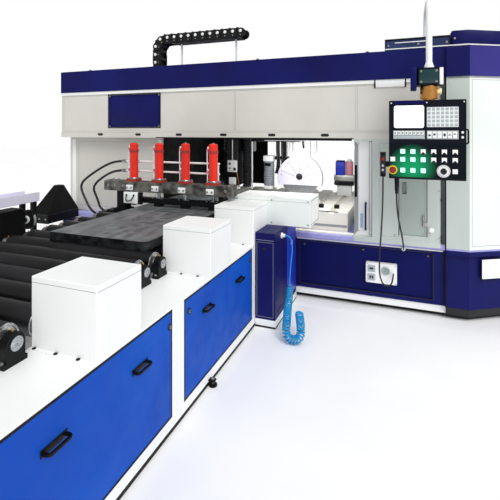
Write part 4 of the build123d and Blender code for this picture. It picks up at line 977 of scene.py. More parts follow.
# %% Front of the machine
MACHINE = (-2580, 1384)
INSETS = [(-2490, -1270), (-1210, 131), (191, 1294)]
INSET_Z = (130, 515)
THROAT = (-1317, 662)
HOOD_LOW, HOOD_LIP, HOOD_TOP = 1430, 1485, 1930
BASE_FRONT = 25
DRAIN_XS = [-2029 + 490 * i for i in range(6)]
DRAIN_Z = 1463
NAVY_INSET = ((-1920, -1276), (1541, 1885))
SEAM_X = -441.5
HOOD_SHEETS = [(MACHINE[0] + 30, SEAM_X - 6), (SEAM_X + 6, THROAT[1] + 20), (THROAT[1] + 34, MACHINE[1] - 30)]
CABINET_SIDE, CABINET_FRONT = 161, -635
PLINTH = (14, 62)
END_COVER_FRONT = -343


def front_latch(x, y, z):
    """A quarter-turn latch on a face that looks to -y."""
    return fitted((black_plastic, cup(x, y, z, 14)),
                  (zinc, slab(around(x, 7), (y - 5, y - 1.5), around(z, 1.6), 0.5)))


inset_y = (BASE_FRONT - 1, BASE_FRONT + 13)
piece("inset_edging", "black_rubber",
      (black_plastic, *every(frame_strips, [(inset, inset_y, INSET_Z, 5) for inset in INSETS])))
# A white strip under the ledge is painted highlight along the base's edge.
piece("ledge_highlight_line", "white_paint",
      (white_coat, *[slab(x, (BASE_FRONT - 5, BASE_FRONT), (530, 541), 1.5)
                     for x in ((MACHINE[0], -4), (164, MACHINE[1] - 20))]))
piece("inset_latches", "black_plastic",
      every(front_latch, [(x, BASE_FRONT + 14, INSET_Z[1] - 34) for left, right in INSETS
                          for x in (left + 40, (left + right) / 2, right - 40)]))

plugs = [modify(slab(around(x, 36), (1.5, 7.9), around(DRAIN_Z, 13)), "BEVEL", width=12.5 * MM, segments=6,
                affect="EDGES", limit_method="ANGLE") for x in DRAIN_XS]
piece("drain_plugs", "black_plastic", (black_plastic, *plugs))
piece("hood_seams", "black_rubber",
      (shadow_grey, *every(frame_strips, [(x, (7.2, 8), (HOOD_LIP + 14, HOOD_TOP - 44), 2.2)
                                          for x in HOOD_SHEETS]),
       slab(MACHINE, (-0.5, 0.2), (HOOD_LIP - 2, HOOD_LIP))),
      (black_plastic, slab((THROAT[0] - 4, THROAT[1] + 4), (-2, 1), (HOOD_LOW - 1, HOOD_LOW + 8))))

(left, right), (low, high) = NAVY_INSET
piece("hood_window", "navy_paint",
      (black_coat, *frame_strips((left - 10, right + 10), (5, 9), (low - 10, high + 10), 9)),
      (navy_enamel, slab((left + 22, right - 22), (12, 15.9), (low + 22, high - 22), 2)),
      grid(hex_bolt, (left + 12, right - 12), 11, (low + 12, high - 12), 7, "y"))
piece("band_lamp", "white_paint", (white_plastic, slab((848, 1076), (-4, 9), (1866, 1914), 4)),
      (black_coat, *[slab((x, x + 10), (-2, 9), (1862, 1930), 1) for x in (836, 1078)]))

corner = MACHINE[1]
piece("module_gasket", "black_rubber",
      (seam_rubber, slab((corner - 38, corner + 2), (-4, 0), (596, HOOD_TOP), 1.5)),
      (black_coat, slab((corner - 6, corner + 2), (-5, BASE_FRONT), (100, HOOD_TOP), 1)),
      (black_plastic, *[slab((corner - 40, corner - 24), (-7, -3), (z, z + 22), 2)
                        for z in (612, 640, 940, 1260, 1580, 1860)]))
piece("pillar_trim", "cream_paint",
      (white_coat, *[slab(x, (126, 130), (620, HOOD_LOW - 20), 2)
                     for x in ((MACHINE[0] + 40, MACHINE[0] + 96), (THROAT[0] - 60, THROAT[0] - 18))]),
      (shadow_grey, *frame_strips((MACHINE[0] + 130, THROAT[0] - 90), (129.2, 130.2),
                                  (650, HOOD_LOW - 50), 2.5)))
piece("column_trim", "cream_paint",
      (shadow_grey, *frame_strips((880, 1030), (-0.8, 0.2), (624, 1400), 2.2)),
      (zinc, *grid(screw, (1000, 1332), 0, (640, 1020, 1400), 6, 5, 3, 2.5)),
      (black_coat, *[slab((x, x + 6), (-1.2, 0.2), (640, 1416)) for x in (1030, 1242)]))
piece("column_apron", "cream_paint",
      (grey_green_coat, slab((THROAT[1] + 6, corner - 38), (-3, 0), (560, 600), 1)))
piece("access_trim", "black_plastic",
      (black_plastic, *frame_strips((1061, 1090), (-0.5, 3), (983, 1077), 3)),
      (zinc, *grid(turned, (1064, 1214), 2, (662, 1398),
                   [(0, 0), (5, 0), (4, 2.5), (2, 3), (2, 1), (0, 1)], "y")), body="access_body")

side, front = CABINET_SIDE, CABINET_FRONT
# The bright cobalt strip on the right face is painted highlight, and the black strips under the white plinth
# are painted shadow at the floor.
piece("cabinet_trim", "navy_paint", (cobalt_and_painted_highlight, slab((side, side + 3), (-300, -14), (104, 700), 1.5)),
      (white_coat, slab((side + 3, side + 11), (-190, -158), (528, 558), 2)),
      (shadow_grey, slab((8, 152), (front - 0.8, front), (664, 667))),
      (black_plastic, cup(80, front, 600, 13)),
      (shadow_grey, *frame_strips((14, 147), (front - 0.8, front), (80, 650), 2.2)),
      (white_coat, slab((3, side + 5), (front - 3, front + 1), PLINTH, 1),
       slab((side, side + 5), (front + 1, -4), PLINTH, 1)),
      # These black strips at the floor are painted shadow under the plinth.
      (black_coat, slab((3, side + 3), (front - 2, front + 1), (0, PLINTH[0])),
       slab((side, side + 3), (front + 1, -4), (0, PLINTH[0]))))
piece("end_cover_trim", "white_paint",
      (zinc, *grid(screw, (-270, 40, 348), END_COVER_FRONT, (740, 925), 7, 6.4, 3, 3)),
      (shadow_grey, *frame_strips((367.6, 368.6), (-330, -14), (734, 932), 6, False),
       slab((-286, 364), (END_COVER_FRONT - 0.5, END_COVER_FRONT + 0.2), (918, 920))))
print("front pieces done")

# %% [markdown]
# ## Inside the throat
# The milling ram hides behind a pleated black cover and carries a white coolant block. The saw has a
# hub nut, a fan cover and rigid pipes. Behind them on the left hangs a black strip curtain, and a black
# trough with folds sits under the hood; both are painted shade in the throat. The lubrication unit stands
# on the table at the rear, and a lamp under the hood lights the right side.

# %% Inside the throat
MILL_X = -692
RAM_FRONT = 555
RAM = (MILL_X - 60, MILL_X + 60)
SAW = (45, 1005)
GUARD_FRONT = 590
TABLE_ENDS = (-1257, 602)
REAR = 1750
STRIP_PITCH = 52
WORK_LIGHT = 6
COVER_RS = (52, 60)
COVER_LOW, FOLD, FOLDS = 905, 12, 22


def pleats(x, y, low, high, fold):
    """A flat cover with folds, which faces -y."""
    forms = [slab(x, (y[0] + 4, y[1]), (low, high))]
    count = int((high - low) // fold)
    for i in range(count):
        z = low + (i + 0.5) * (high - low) / count
        forms.append(slab((x[0] + 2, x[1] - 2), (y[0], y[0] + 6), around(z, fold * 0.32), 2))
    return forms


left, right = RAM
piece("ram_cover", "black_rubber",
      (bellows_cloth, *pleats((left - 6, right + 6), (RAM_FRONT - 22, RAM_FRONT), 1185, 1404, 22)),
      (black_coat, slab((left - 2, right + 2), (RAM_FRONT - 8, RAM_FRONT), (996, 1046), 2)),
      body="mill_ram_body")
piece("coolant_block", "white_paint",
      (white_coat, slab((left + 2, right - 6), (RAM_FRONT - 34, RAM_FRONT), (1050, 1180), 10),
       slab((left + 14, right - 22), (RAM_FRONT - 14, RAM_FRONT), (912, 992), 5)),
      (black_plastic, drum(left + 34, RAM_FRONT - 35, 1142, 13, 4, "y", edge=1),
       drum(left + 34, RAM_FRONT - 35, 1092, 8, 4, "y", edge=1),
       slab((right - 42, right - 14), (RAM_FRONT - 37, RAM_FRONT - 33), (1070, 1100), 1)),
      (zinc, drum(MILL_X + 6, RAM_FRONT - 34, 1292, 7, 224, sides=20),
       drum(MILL_X + 6, RAM_FRONT - 34, 1186, 12, 14, sides=6)),
      (brass, tube([(MILL_X + 50, RAM_FRONT - 20, 1056), (MILL_X + 62, RAM_FRONT - 14, 990),
                    (MILL_X + 66, RAM_FRONT + 8, 920), (MILL_X + 58, RAM_FRONT + 26, 884)], 5)),
      body="mill_ram_body")
piece("mill_coolant_pipe", "white_paint", (white_coat, drum(-512, 672, 1120, 8, 560, sides=20)),
      (black_plastic, drum(-512, 672, 836, 12, 34, sides=20, edge=2)),
      (grey_machine_paint, slab((-530, -494), (662, 732), (1386, 1410), 3)), body="mill_slide")

x, z = SAW
hub = [(0, 0), (34, 0), (34, 5), (22, 9), (20, 16), (12, 20), (0, 20)]
piece("guard_hub", "black_plastic", (black_plastic, turned(x, GUARD_FRONT, z + 18, hub, "y")),
      (zinc, *[screw(across, GUARD_FRONT, up, 8, 7, 4, 3)
               for across, up in circle(x, z, 196, range(10, 180, 40))]),
      (lavender_and_painted_sheen, *[swing(slab((-3, 3), (-1.6, 0.4), (52, 214)), angle - 90, "Y", (0, 0, 0),
                              (x, GUARD_FRONT, z)) for angle in range(22, 160, 34)]), body="saw_head_body")
piece("saw_motor_trim", "black_plastic",
      (black_plastic, turned(x, 982, z, [(0, -12), (70, -12), (78, -6), (78, 0), (0, 0)], "y")),
      (black_coat, *[slab(around(x, 60), (994, 996), around(up, 2)) for up in range(z - 48, z + 49, 12)]),
      (grey_machine_paint, slab((x + 20, x + 90), (830, 930), (z + 74, z + 122), 5)), body="saw_head_body")

folded = [(0, COVER_LOW)] + [(COVER_RS[i % 2], COVER_LOW + FOLD * i) for i in range(FOLDS + 1)]
folded.append((0, COVER_LOW + FOLD * FOLDS))
piece("saw_side_cover", "black_rubber", (grey_bellows, turned(-318, 690, 0, folded, "z", 36)),
      (white_coat, slab((-372, -262), (636, 740), (1169, 1232), 8),
       slab((-366, -270), (640, 736), (868, COVER_LOW), 6)),
      (black_coat, slab((-300, -104), (716, 742), (1186, 1222), 3),
       slab((-352, -284), (630, 638), (1120, 1150), 2)),
      (hose_rubber, *[tube([(x, y, 1405), (x - 4, y, 1300), (x + 10, y - 12, 1190), (x + 2, y - 8, 1080),
                            (x - 20, y + 10, 1040)], 11)
                      for x, y in ((-226, 684), (-200, 672), (-172, 690))]),
      body="saw_slide")
piece("saw_nozzle", "black_plastic",
      (black_plastic, tube([(62, 694, 1400), (70, 648, 1372), (84, 596, 1360), (92, 584, 1330)], 10),
       turned(92, 584, 1318, [(0, 0), (6, 0), (12, 16), (0, 16)])), body="saw_slide")

# A black block with folds under the hood is painted shade.
piece("hood_shade_trough", "black_plastic", (black_coat, slab((-480, 64), (548, 628), (1394, 1429), 4)),
      (bellows_cloth, *[slab((x, x + 12), (544, 632), (1386, 1396), 1) for x in range(-474, 50, 24)]))
# The black strip curtain at the rear is painted shade, standing for the deep shade there.
strips = [slab((x, x + 62), (REAR - (12 if i % 2 else 6), REAR - (8 if i % 2 else 2)), (778, 1428))
          for i, x in enumerate(range(-1316, -700, STRIP_PITCH))]
piece("rear_shade_curtain", "black_rubber", (black_coat, *strips),
      (zinc, slab((-1316, 660), (REAR - 20, REAR - 12), (1404, 1428), 2)))
piece("lubrication_unit", "black_plastic", (cobalt_and_painted_highlight, slab((338, 442), (1100, 1190), (1000, 1150), 6)),
      (navy_enamel, slab((344, 436), (1106, 1184), (1150, 1164), 4)),
      (rose_plastic, drum(490, 1145, 1080, 42, 150, sides=40, edge=6)),
      (white_plastic, drum(490, 1145, 1166, 26, 24, sides=32, edge=4)),
      (black_coat, slab((330, 540), (1084, 1204), (886, 934), 8)),
      (black_plastic, drum(352, 1096, 912, 26, 60, "y", edge=4)),
      (white_coat, slab((356, 516), (1110, 1190), (TABLE_TOP, 886), 6)),
      (zinc, slab((322, 548), (1094, 1196), (934, 1000), 4)))
piece("table_stops", "black_plastic",
      (black_coat, *[slab((x, x + 44), (300, 348), (TABLE_TOP, 800), 4) for x in (306, 452)]),
      (zinc, *[drum(x + 22, 324, 806, 10, 12, sides=6) for x in (306, 452)]),
      (black_coat, slab((200, 520), (118, 132), (TABLE_TOP, TABLE_TOP + 7), 2)),
      (grey_machine_paint, slab((TABLE_ENDS[0] + 4, TABLE_ENDS[1] - 4), (104, 110.5), (640, 660), 1)))
piece("rail_buffers", "black_rubber",
      (black_plastic, *[slab((x - 18, x), (770, 802), around(z, 26), 4)
                        for x in (662, -1299) for z in (1540, 1780)]))

bpy.ops.object.light_add(type="AREA", location=at(250, 140, 1405), rotation=(radians(38), 0, 0))
work_light = bpy.context.object.data
work_light.shape = "RECTANGLE"
work_light.size, work_light.size_y = 0.9, 0.16
work_light.energy = WORK_LIGHT
piece("hood_lamp", "white_paint", (black_coat, slab((-180, 640), (92, 134), (1412, 1429), 3)),
      (white_lamp, slab((-172, 632), (98, 128), (1409, 1412), 1)))
print("throat pieces done")

# %% [markdown]
# ## Sliding door, control panel and sockets
# The screen is lit white in a dark bezel. The keys on the left glow green through a membrane, the others
# are grey caps with dark marks, and the soft keys under the screen are white. Nothing is lettered.

# %% Door, panel and sockets
PANEL_FRONT = -350
KEYS_FRONT = -355
KEY_XS = [994 + 70 * i for i in range(7)]
KEY_ROWS = (1349, 1290, 1210)
LIT_COLUMNS = ((1, 2), (1, 2, 3), (1, 2, 3))
MARKED_COLUMNS = (3, 4)
SOFT_XS = range(1003, 1200, 26)
CAP_XS = range(1233, 1430, 33)
CAP_Y, CAP_MARK_Y = (-358.5, -354.5), (-359.2, -358.4)
DIAL_X = 1339
PENDANT_X, PENDANT_FRONT = 923, -346
COUPLING = (1246, -300)
BOX_FRONT = -15
ROUND_SOCKET = (930, 338)


def glow_film():
    """A dark membrane that glows green round a point and fades to blue-black."""
    made, tree, shader, where = new_material("lit green membrane")
    far = add(tree, "ShaderNodeVectorMath", {"operation": "DISTANCE", 0: where,
                                             1: at(1130, PANEL_FRONT, 1238)}).outputs["Value"]
    glow = blend_colours(tree, between(tree, far, 0, 1, 0.05, 0.17), "#0A8A58", "#060E16")
    fill(tree, shader, {"Base Color": glow, "Emission Color": glow, "Emission Strength": 0.2,
                        "Roughness": 0.4, "Specular IOR Level": 0.12})
    return made


screen_white = lamp("lit screen", "#FFFFFF", 0.75)
green_film = glow_film()
piece("panel_face", "dark_console", (screen_white, rounded((1003, 1210), (-349.5, -345), (1523, 1688), 14)),
      (console_plastic, *frame_strips((996, 1217), (PANEL_FRONT - 2, PANEL_FRONT + 1), (1514, 1697), 6)),
      (indigo_enamel, slab((1000, 1222), (PANEL_FRONT - 1.5, PANEL_FRONT), (1699, 1722), 0.5)),
      (white_plastic, *grid(button, (984, 1229, 1472), PANEL_FRONT, (1708,), 5, 2.5),
       *grid(button, (1462,), PANEL_FRONT, (1455, 1490), 9, 4)),
      (green_film, slab((970, 1480), (PANEL_FRONT - 0.7, PANEL_FRONT), (1160, 1412))), body="console")
piece("soft_keys", "key_plastic",
      (white_plastic, *[slab((x, x + 21), CAP_Y, (1472, 1498), 1.5) for x in SOFT_XS]),
      (black_plastic, *[slab((x + 4, x + 15), CAP_MARK_Y, (1481, 1490)) for x in SOFT_XS]),
      (key_grey, slab((1003, 1211), (-357.5, CAP_Y[1]), (1446, 1466), 2)),
      (white_plastic, *[slab((x, x + 27), CAP_Y, (1448, 1497), 2) for x in CAP_XS]),
      (teal_film, *[slab((x + 6, x + 21), CAP_MARK_Y, (1462 + 6 * (i % 3), 1476 + 6 * (i % 2)))
                    for i, x in enumerate(CAP_XS)]), body="console")

marks, lenses = [], []
for z, first in zip(KEY_ROWS, MARKED_COLUMNS):
    for x in KEY_XS[first:]:
        marks += [drum(x, KEYS_FRONT, z - 12, 8, 2, "y", 24),
                  slab(around(x, 12), around(KEYS_FRONT, 1), (z - 17, z - 11))]
for z, columns in zip(KEY_ROWS, LIT_COLUMNS):
    lenses += [rounded(around(KEY_XS[column], 17), (KEYS_FRONT - 3, KEYS_FRONT), around(z, 17), 9)
               for column in columns]
piece("key_marks", "key_plastic", (black_plastic, *marks), (green_lamp, *lenses), body="console")

z = KEY_ROWS[2]
collar = turned(KEY_XS[0], PANEL_FRONT, z, [(24, 0), (33, 0), (33, 3), (29, 5), (24, 4), (24, 0)], "y")
dial = turned(DIAL_X, PANEL_FRONT, z, [(39, 0), (46, 0), (44, 7), (40, 8), (39, 0)], "y")
piece("dial_rings", "key_plastic", (yellow_plastic, collar), (white_plastic, dial),
      (black_plastic, *[swing(slab((-1, 1), (-9, -6), (40, 45)), angle, "Y", (0, 0, 0),
                              (DIAL_X, PANEL_FRONT, z)) for angle in range(0, 360, 18)]), body="console")
piece("panel_back", "dark_console", (console_plastic, slab((1010, 1440), (-249, -236), (1240, 1660), 5)),
      (black_plastic, *[slab((1060, 1390), (-236.5, -233), (z, z + 9), 2) for z in range(1290, 1430, 22)]),
      (zinc, *grid(button, (1028, 1422), -237, (1262, 1638), 6, -3)), body="console")
piece("pendant_face", "black_plastic",
      (black_plastic, slab(around(PENDANT_X, 18), (PENDANT_FRONT, PENDANT_FRONT + 6), (1180, 1318), 4)),
      (key_grey, *grid(button, (PENDANT_X,), PENDANT_FRONT, (1206, 1238), 9, 5)),
      (red_plastic, turned(PENDANT_X, PENDANT_FRONT, 1288, [(0, 0), (12, 0), (12, 6), (8, 9), (0, 9)], "y")),
      body="console")
piece("swivel_trim", "dark_console", (navy_enamel, slab((1118, 1160), (-366, -250), (1800, 1966), 6)),
      (white_coat, slab((1312, 1338), (-362, -238), (1836, 1958), 4)),
      (teal_film, slab((1176, 1306), (-364, -360), (1846, 1948), 3)),
      grid(hex_bolt, (1190, 1292), -364, (1858, 1936), 7, "y"))
piece("coupling_rings", "brass",
      (brass, turned(*COUPLING, 0, [(50, 1738), (57, 1742), (57, 1756), (50, 1760), (50, 1738)]),
       turned(*COUPLING, 0, [(50, 1796), (59, 1800), (59, 1822), (50, 1826), (50, 1796)])),
      (ivory_plastic, drum(1312, -304, 1790, 26, 36, "x", edge=5)),
      (black_plastic, drum(1334, -304, 1790, 14, 10, "x", edge=2),
       drum(1196, -334, 1782, 12, 14, "y", edge=2)), body="console")

piece("door_trim", "black_rubber", (black_coat, slab((671.5, 693), (34.5, 38.6), (930, 1206), 1)),
      (steel_blue_coat, slab((718, 740), (36, 38.6), (668, 790), 1)),
      (black_plastic, *frame_strips((792, 816), (37, 38.5), (612, 1412), 3)),
      (zinc, *grid(button, (704,), 38, (640, 1010, 1390), 6, 3)), body="door_body")

x, z = ROUND_SOCKET
plate_y, mark_y = (BOX_FRONT - 3, BOX_FRONT), (BOX_FRONT - 5, BOX_FRONT - 2)
flange = [(0, 0), (36, 0), (36, 5), (30, 11), (25, 11), (23, 3), (0, 3)]
piece("socket_trim", "white_paint",
      (key_grey, *[rounded((784, 846), plate_y, (low, low + 56), 6) for low in (318, 246)]),
      (black_plastic, slab((800, 830), mark_y, (338, 354), 2), slab((800, 812), mark_y, (262, 286), 1),
       slab((818, 830), mark_y, (262, 286), 1)),
      (key_grey, turned(x, BOX_FRONT, z, flange, "y")),
      (moss_grey_coat, turned(x, BOX_FRONT - 3, z, [(0, 0), (19, 0), (17, 5), (0, 5)], "y")),
      (black_plastic, *[drum(across, BOX_FRONT - 9, up, 3, 3, "y", 12)
                        for across, up in circle(x, z, 10, (90, 210, 330))]),
      (zinc, *grid(button, (779, 1008), BOX_FRONT, (236, 385), 5, 2.5)))
print("panel pieces done")

# %% [markdown]
# ## Roof, energy chain and right module
# The chain's links are pinned at each joint, with white caps on both sides, and cross bars and four
# cables show between them. The module's roof has a low navy cap with a white line of painted highlight
# over a black line of painted shade at its foot, its turned front a band that is lighter as painted light,
# and the cabinet below a blank white plate. The module's front is turned by 30 degrees about its corner.

# %% Roof, chain and module
CHAIN_LEFT, CHAIN_RIGHT, CHAIN_START, CHAIN_RUN = -1661, -593, 2217.3, 2575
BEND = 105
CHAIN_SIDES = (523, 677)
LINK_PITCH = 92
CABLES = ((560, -8), (590, 6), (618, -4), (645, 8))
BAND_TOP = 2165
ROOF_CAP_TOP = 2305
MODULE_CORNER, MODULE_END = 1550, 2200
FACET = 30
FACET_TURN = (MODULE_CORNER, -20, FACET)
rise = CHAIN_RUN - BEND - CHAIN_START
arc = BEND * pi / 2
chain_length = rise + arc + CHAIN_RIGHT - CHAIN_LEFT - BEND
links = int(chain_length // LINK_PITCH)


def chain_spot(s):
    """A place on the chain's middle line, s along it, and the direction outward from the bend."""
    if s < rise:
        return CHAIN_LEFT, CHAIN_START + s, -1, 0
    if s < rise + arc:
        turn = (s - rise) / BEND
        return (CHAIN_LEFT + BEND * (1 - cos(turn)), CHAIN_RUN - BEND * (1 - sin(turn)), -cos(turn),
                sin(turn))
    return CHAIN_LEFT + BEND + s - rise - arc, CHAIN_RUN, 0, 1


def cut_front(obj, y):
    """Cut a block along the module's turned front, at its corner moved back to y."""
    pick(obj)
    bpy.ops.object.mode_set(mode="EDIT")
    bpy.ops.mesh.select_all(action="SELECT")
    bpy.ops.mesh.bisect(plane_co=at(MODULE_CORNER, y, 0), plane_no=(0.5, -cos(radians(FACET)), 0),
                        use_fill=True, clear_outer=True)
    bpy.ops.object.mode_set(mode="OBJECT")
    return obj


pins = []
for i in range(links + 1):
    x, z, out_x, out_z = chain_spot(min(i * chain_length / links, chain_length - 1))
    for y in CHAIN_SIDES:
        pins += fitted((white_plastic, drum(x + 16 * out_x, y, z + 16 * out_z, 17, 5, "y", 24, 1)),
                       (zinc, drum(x - 26 * out_x, y, z - 26 * out_z, 8, 4, "y", 16, 1)))
piece("chain_pins", "white_paint", pins)
bars = []
for i in range(links):
    x, z, out_x, out_z = chain_spot((i + 0.5) * chain_length / links)
    bars.append(slab(around(x + 50 * out_x, 12), (538, 662), around(z + 50 * out_z, 12), 4))
wires = []
for y, dx in CABLES:
    x, z = CHAIN_LEFT + dx, CHAIN_RUN - dx
    wires.append(tube([(x, y, 2200), (x, y, 2400), (x, y, z - 40), (CHAIN_LEFT + BEND, y, z), (-900, y, z),
                       (-570, y, z)], 11, 4))
piece("chain_bars", "black_plastic", (black_plastic, *bars), (hose_rubber, *wires))

# The white band at the cap's foot is painted highlight, and the black band under it painted shade.
piece("module_roof_cap", "navy_paint",
      (navy_enamel, soften(cut_front(slab((1424, 2150), (40, 1650), (BAND_TOP, ROOF_CAP_TOP)), 40), 14)),
      (white_coat, cut_front(slab((1416, 2158), (32, 1658), (2180, 2190)), 32)),
      (black_coat, cut_front(slab((1418, 2156), (34, 1656), (BAND_TOP, 2180)), 34)),
      (shadow_grey, *[slab((1428, 2146), (y, y + 3), (ROOF_CAP_TOP - 0.4, ROOF_CAP_TOP + 1))
                      for y in (480, 1000)]), [hex_bolt(1450, 40, 2240, 8, "y")])
# Its white strips are painted highlights, and its black strips painted shade lines.
piece("roof_cap_trim_and_painted_light", "steel_blue_paint", (white_coat, slab((918, 1420), (2, 12), (2176, 2184), 1),
                                            slab((1000, 1250), (4, 10.5), (2226, 2233), 1)),
      (black_coat, slab((921, 1417), (6, 14), (2252, 2264), 1),
       *[slab((x, x + 6), (4, 12), (2166, 2262), 1) for x in (921, 1411)]),
      grid(hex_bolt, (950, 1180, 1390), 8, (2210,), 8, "y"))

eyes = []
for x in (-2400, -300, 760):
    for y in (260, 1500):
        eyes += [drum(x, y, BAND_TOP + 6, 24, 12, sides=32, edge=2), ring(x, y, BAND_TOP + 34, 20, 6, "y")]
piece("lifting_eyes", "bare_steel", (zinc, *eyes))
seam_z = (BAND_TOP - 0.5, BAND_TOP + 1.5)
piece("roof_seams", "black_rubber",
      (shadow_grey, *[slab((-2560, 1380), (y, y + 3), seam_z) for y in (500, 1150)],
       *[slab((x, x + 3), (10, 1740), seam_z) for x in (-1900, -900, 100, 1384)]))

blank = fitted((white_plastic, rounded((1655, 1835), (-23, -20), (345, 495), 6)),
               (black_coat, *frame_strips((1649, 1841), (-22, -20), (339, 501), 6)),
               (zinc, *grid(button, (1667, 1823), -23, (357, 483), 4, 2)))
piece("blank_plate", "white_paint", turned_to(blank, FACET_TURN))
module_x = (1572, 2270)
band = fitted((lavender_and_painted_sheen, *frame_strips(module_x, (-21.5, -19.6), (1958, 2136), 3)))
piece("band_frame", "navy_paint", turned_to(band, FACET_TURN))
door = fitted((shadow_grey, *frame_strips(module_x, (-17.4, -15.8), (600, 1902), 2.5)),
              (zinc, *grid(drum, (2276,), -18, (700, 1250, 1800), 9, 80, "z", 20, 2)),
              (black_plastic, rounded((2080, 2106), (-22, -16), (1190, 1300), 10)),
              (zinc, slab((2087, 2099), (-32, -21), (1205, 1285), 3)))
piece("module_door_trim", "white_paint", turned_to(door, FACET_TURN))
print("roof and module pieces done")

# %% [markdown]
# ## Rear and sides
# The photograph shows none of these. They get what such a machine needs: service doors with hinges,
# handles and louvres, bolted covers, a fan filter, cable glands and the main switch. Each is built
# facing the front and then turned about an upright line to its own side.

# %% Rear and sides
LOUVRE_PITCH = 24
DOOR_Z, MODULE_DOOR_Z = (650, 1380), (640, 1860)
REAR_BASE_Z = (140, 510)
HOOD_COVER_Z = (1500, 1890)
HOOD_SEAM_Z = (1934, 2160)
CHUTE_X, CHUTE_Y, CHUTE_Z = (-2300, -2120), (-1330, -715), (846, 850, 930)
CHUTE_LEGS = [(x, y) for x in (-2300, -2160) for y in (-1300, -780)]
HOPPER_X, HOPPER_Y = (-2562, -2328), (-423, -400)


def louvres(x, z, count):
    """Pressed louvres in a door leaf that faces -y, each over a dark slot."""
    forms = []
    for low in [z + LOUVRE_PITCH * i for i in range(count)]:
        forms += fitted((white_coat, slab(x, (-15, -9), (low + 6, low + 15), 2.5)),
                        (black_coat, slab((x[0] + 3, x[1] - 3), (-9.6, -8.7), (low, low + 6))))
    return forms


def service_door(material, x, z, hinge_left, vents=0):
    """A raised door leaf with a rubber seam, three hinges, a lever and louvres."""
    hinge_x, lever_x = (x[0] + 2, x[1] - 46) if hinge_left else (x[1] - 2, x[0] + 46)
    middle = (z[0] + z[1]) / 2
    forms = fitted((seam_rubber, *frame_strips(x, (-1.5, 0.4), z, 5)),
                   (material, slab((x[0] + 7, x[1] - 7), (-9, 0), (z[0] + 7, z[1] - 7), 2.5)),
                   (zinc, *[drum(hinge_x, -9, z[0] + share * (z[1] - z[0]), 8, 76, sides=20, edge=2)
                            for share in (0.14, 0.5, 0.86)]),
                   (black_plastic, rounded(around(lever_x, 16), (-15, -9), around(middle, 70), 12)),
                   (zinc, slab(around(lever_x, 7), (-27, -15), (middle - 52, middle + 20), 4),
                    drum(lever_x, -17, middle + 44, 10, 6, "y", 24, 1)))
    return forms + louvres((x[0] + 90, x[1] - 90), z[0] + 50, vents)


def bolted_cover(material, x, z):
    """A flat cover held by hexagon screws."""
    return fitted((material, slab(x, (-4, 0.2), z, 1.5)),
                  grid(hex_bolt, (x[0] + 18, (x[0] + x[1]) / 2, x[1] - 18), -4.5, (z[0] + 18, z[1] - 18), 8,
                       "y"))


def fan_filter(x, z):
    """A square filter cover with slats."""
    return fitted((key_grey, slab((x, x + 250), (-14, 0), (z, z + 250), 6)),
                  (black_coat, *[slab((x + 28, x + 222), (-14.8, -13.8), (low, low + 10))
                                 for low in range(z + 30, z + 222, 24)]))


def upright_seams(places):
    """Seams between the sheets of the hood, painted as grey shade lines."""
    return fitted((shadow_grey, *[slab((x, x + 3), (-0.8, 0.2), HOOD_SEAM_Z) for x in places]))


rear = service_door(cream_coat, (1380, 2520), DOOR_Z, True, 5)
rear += service_door(cream_coat, (-1320, -720), DOOR_Z, True, 4)
for x in ((1420, 2480), (-610, 1260), (-1300, -720)):
    rear += bolted_cover(indigo_enamel, x, REAR_BASE_Z)
for x in range(-1300, 2001, 660):
    rear += bolted_cover(cream_coat, (x, min(x + 600, 2550)), HOOD_COVER_Z)
rear += upright_seams(range(-760, 1881, 660))
gland = [(0, 0), (24, 0), (24, 10), (18, 12), (18, 26), (12, 30), (0, 30)]
rear += fitted((black_plastic, *[turned(-1260 + 62 * i, 0, 560, gland, "y") for i in range(5)]))
piece("rear_panels", "cream_paint", turned_to(rear, (0, REAR / 2, 180)))
module_rear = service_door(module_coat, (-2150, -1440), MODULE_DOOR_Z, True, 8)
module_rear += bolted_cover(indigo_enamel, (-2140, -1450), (150, 490))
piece("module_rear", "white_paint", turned_to(module_rear, (0, (REAR - 4) / 2, 180)))

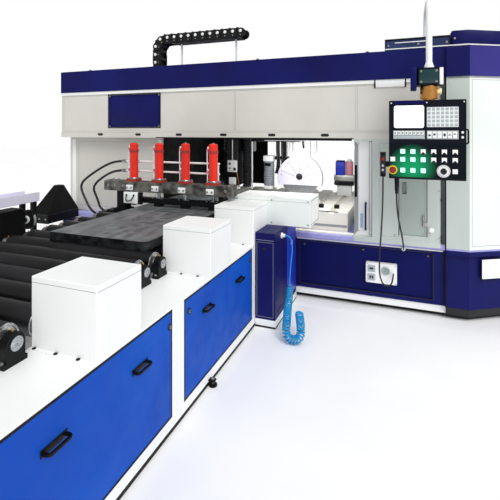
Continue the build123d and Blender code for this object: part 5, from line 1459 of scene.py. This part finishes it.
start = MACHINE[0]
far, near = (start - 1640, start - 960), (start - 880, start - 260)
left = service_door(cream_coat, far, DOOR_Z, False, 6) + bolted_cover(cream_coat, near, DOOR_Z)
left += bolted_cover(cream_coat, far, HOOD_COVER_Z)
left += bolted_cover(cream_coat, (start - 880, start - 160), HOOD_COVER_Z)
left += bolted_cover(indigo_enamel, (start - 1640, start - 160), (150, 500))
left += upright_seams((start - 600, start - 1180))
piece("left_panels", "cream_paint", turned_to(left, (start, 0, -90)))

start = MODULE_END
right = service_door(module_coat, (start + 980, start + 1680), MODULE_DOOR_Z, False, 8)
right += service_door(module_coat, (start + 440, start + 960), MODULE_DOOR_Z, True)
right += fan_filter(start + 560, 1500) + fan_filter(start + 560, 760)
switch = [(0, 0), (30, 0), (28, 10), (14, 12), (14, 22), (0, 22)]
right += fitted((yellow_plastic, rounded((start + 695, start + 785), (-15, -9), (1280, 1370), 8)),
                (red_plastic, turned(start + 740, -15, 1325, switch, "y"),
                 slab((start + 731, start + 749), (-42, -36), (1296, 1354), 4)))
right += bolted_cover(indigo_enamel, (start + 460, start + 1660), (150, 480))
piece("right_panels", "white_paint", turned_to(right, (start - 4, 0, 90)))

low, floor_z, high = CHUTE_Z
(left, right), (front, back) = CHUTE_X, CHUTE_Y
piece("chip_chute", "white_paint",
      (pale_lavender_coat, slab(CHUTE_X, CHUTE_Y, (low, floor_z)),
       slab((left - 4, left), CHUTE_Y, (floor_z, high)), slab((right, right + 4), CHUTE_Y, (floor_z, high)),
       slab((left - 4, right + 4), (front - 4, front), (floor_z, high))),
      (black_coat, *[slab((x, x + 40), (y, y + 40), (0, low), 2) for x, y in CHUTE_LEGS],
       *[slab(CHUTE_X, (y + 8, y + 32), (300, 330), 2) for y in (-1300, -780)],
       *[slab((x - 20, x + 60), (y - 20, y + 60), (0, 8), 2) for x, y in CHUTE_LEGS]))
left, right = HOPPER_X
upper, lower = (634, 642), (548, 556)
piece("hopper_rims", "black_plastic",
      (black_plastic, slab(HOPPER_X, HOPPER_Y, upper, 1.5), slab(HOPPER_X, HOPPER_Y, lower, 1.5),
       slab((right - 8, right), (HOPPER_Y[0], -2), upper, 1.5),
       slab((left, left + 8), (HOPPER_Y[0], -2), upper, 1.5)),
      grid(hex_bolt, (-2530, -2445, -2360), HOPPER_Y[0] + 2, (595,), 8, "y"))
print("rear and side pieces done")
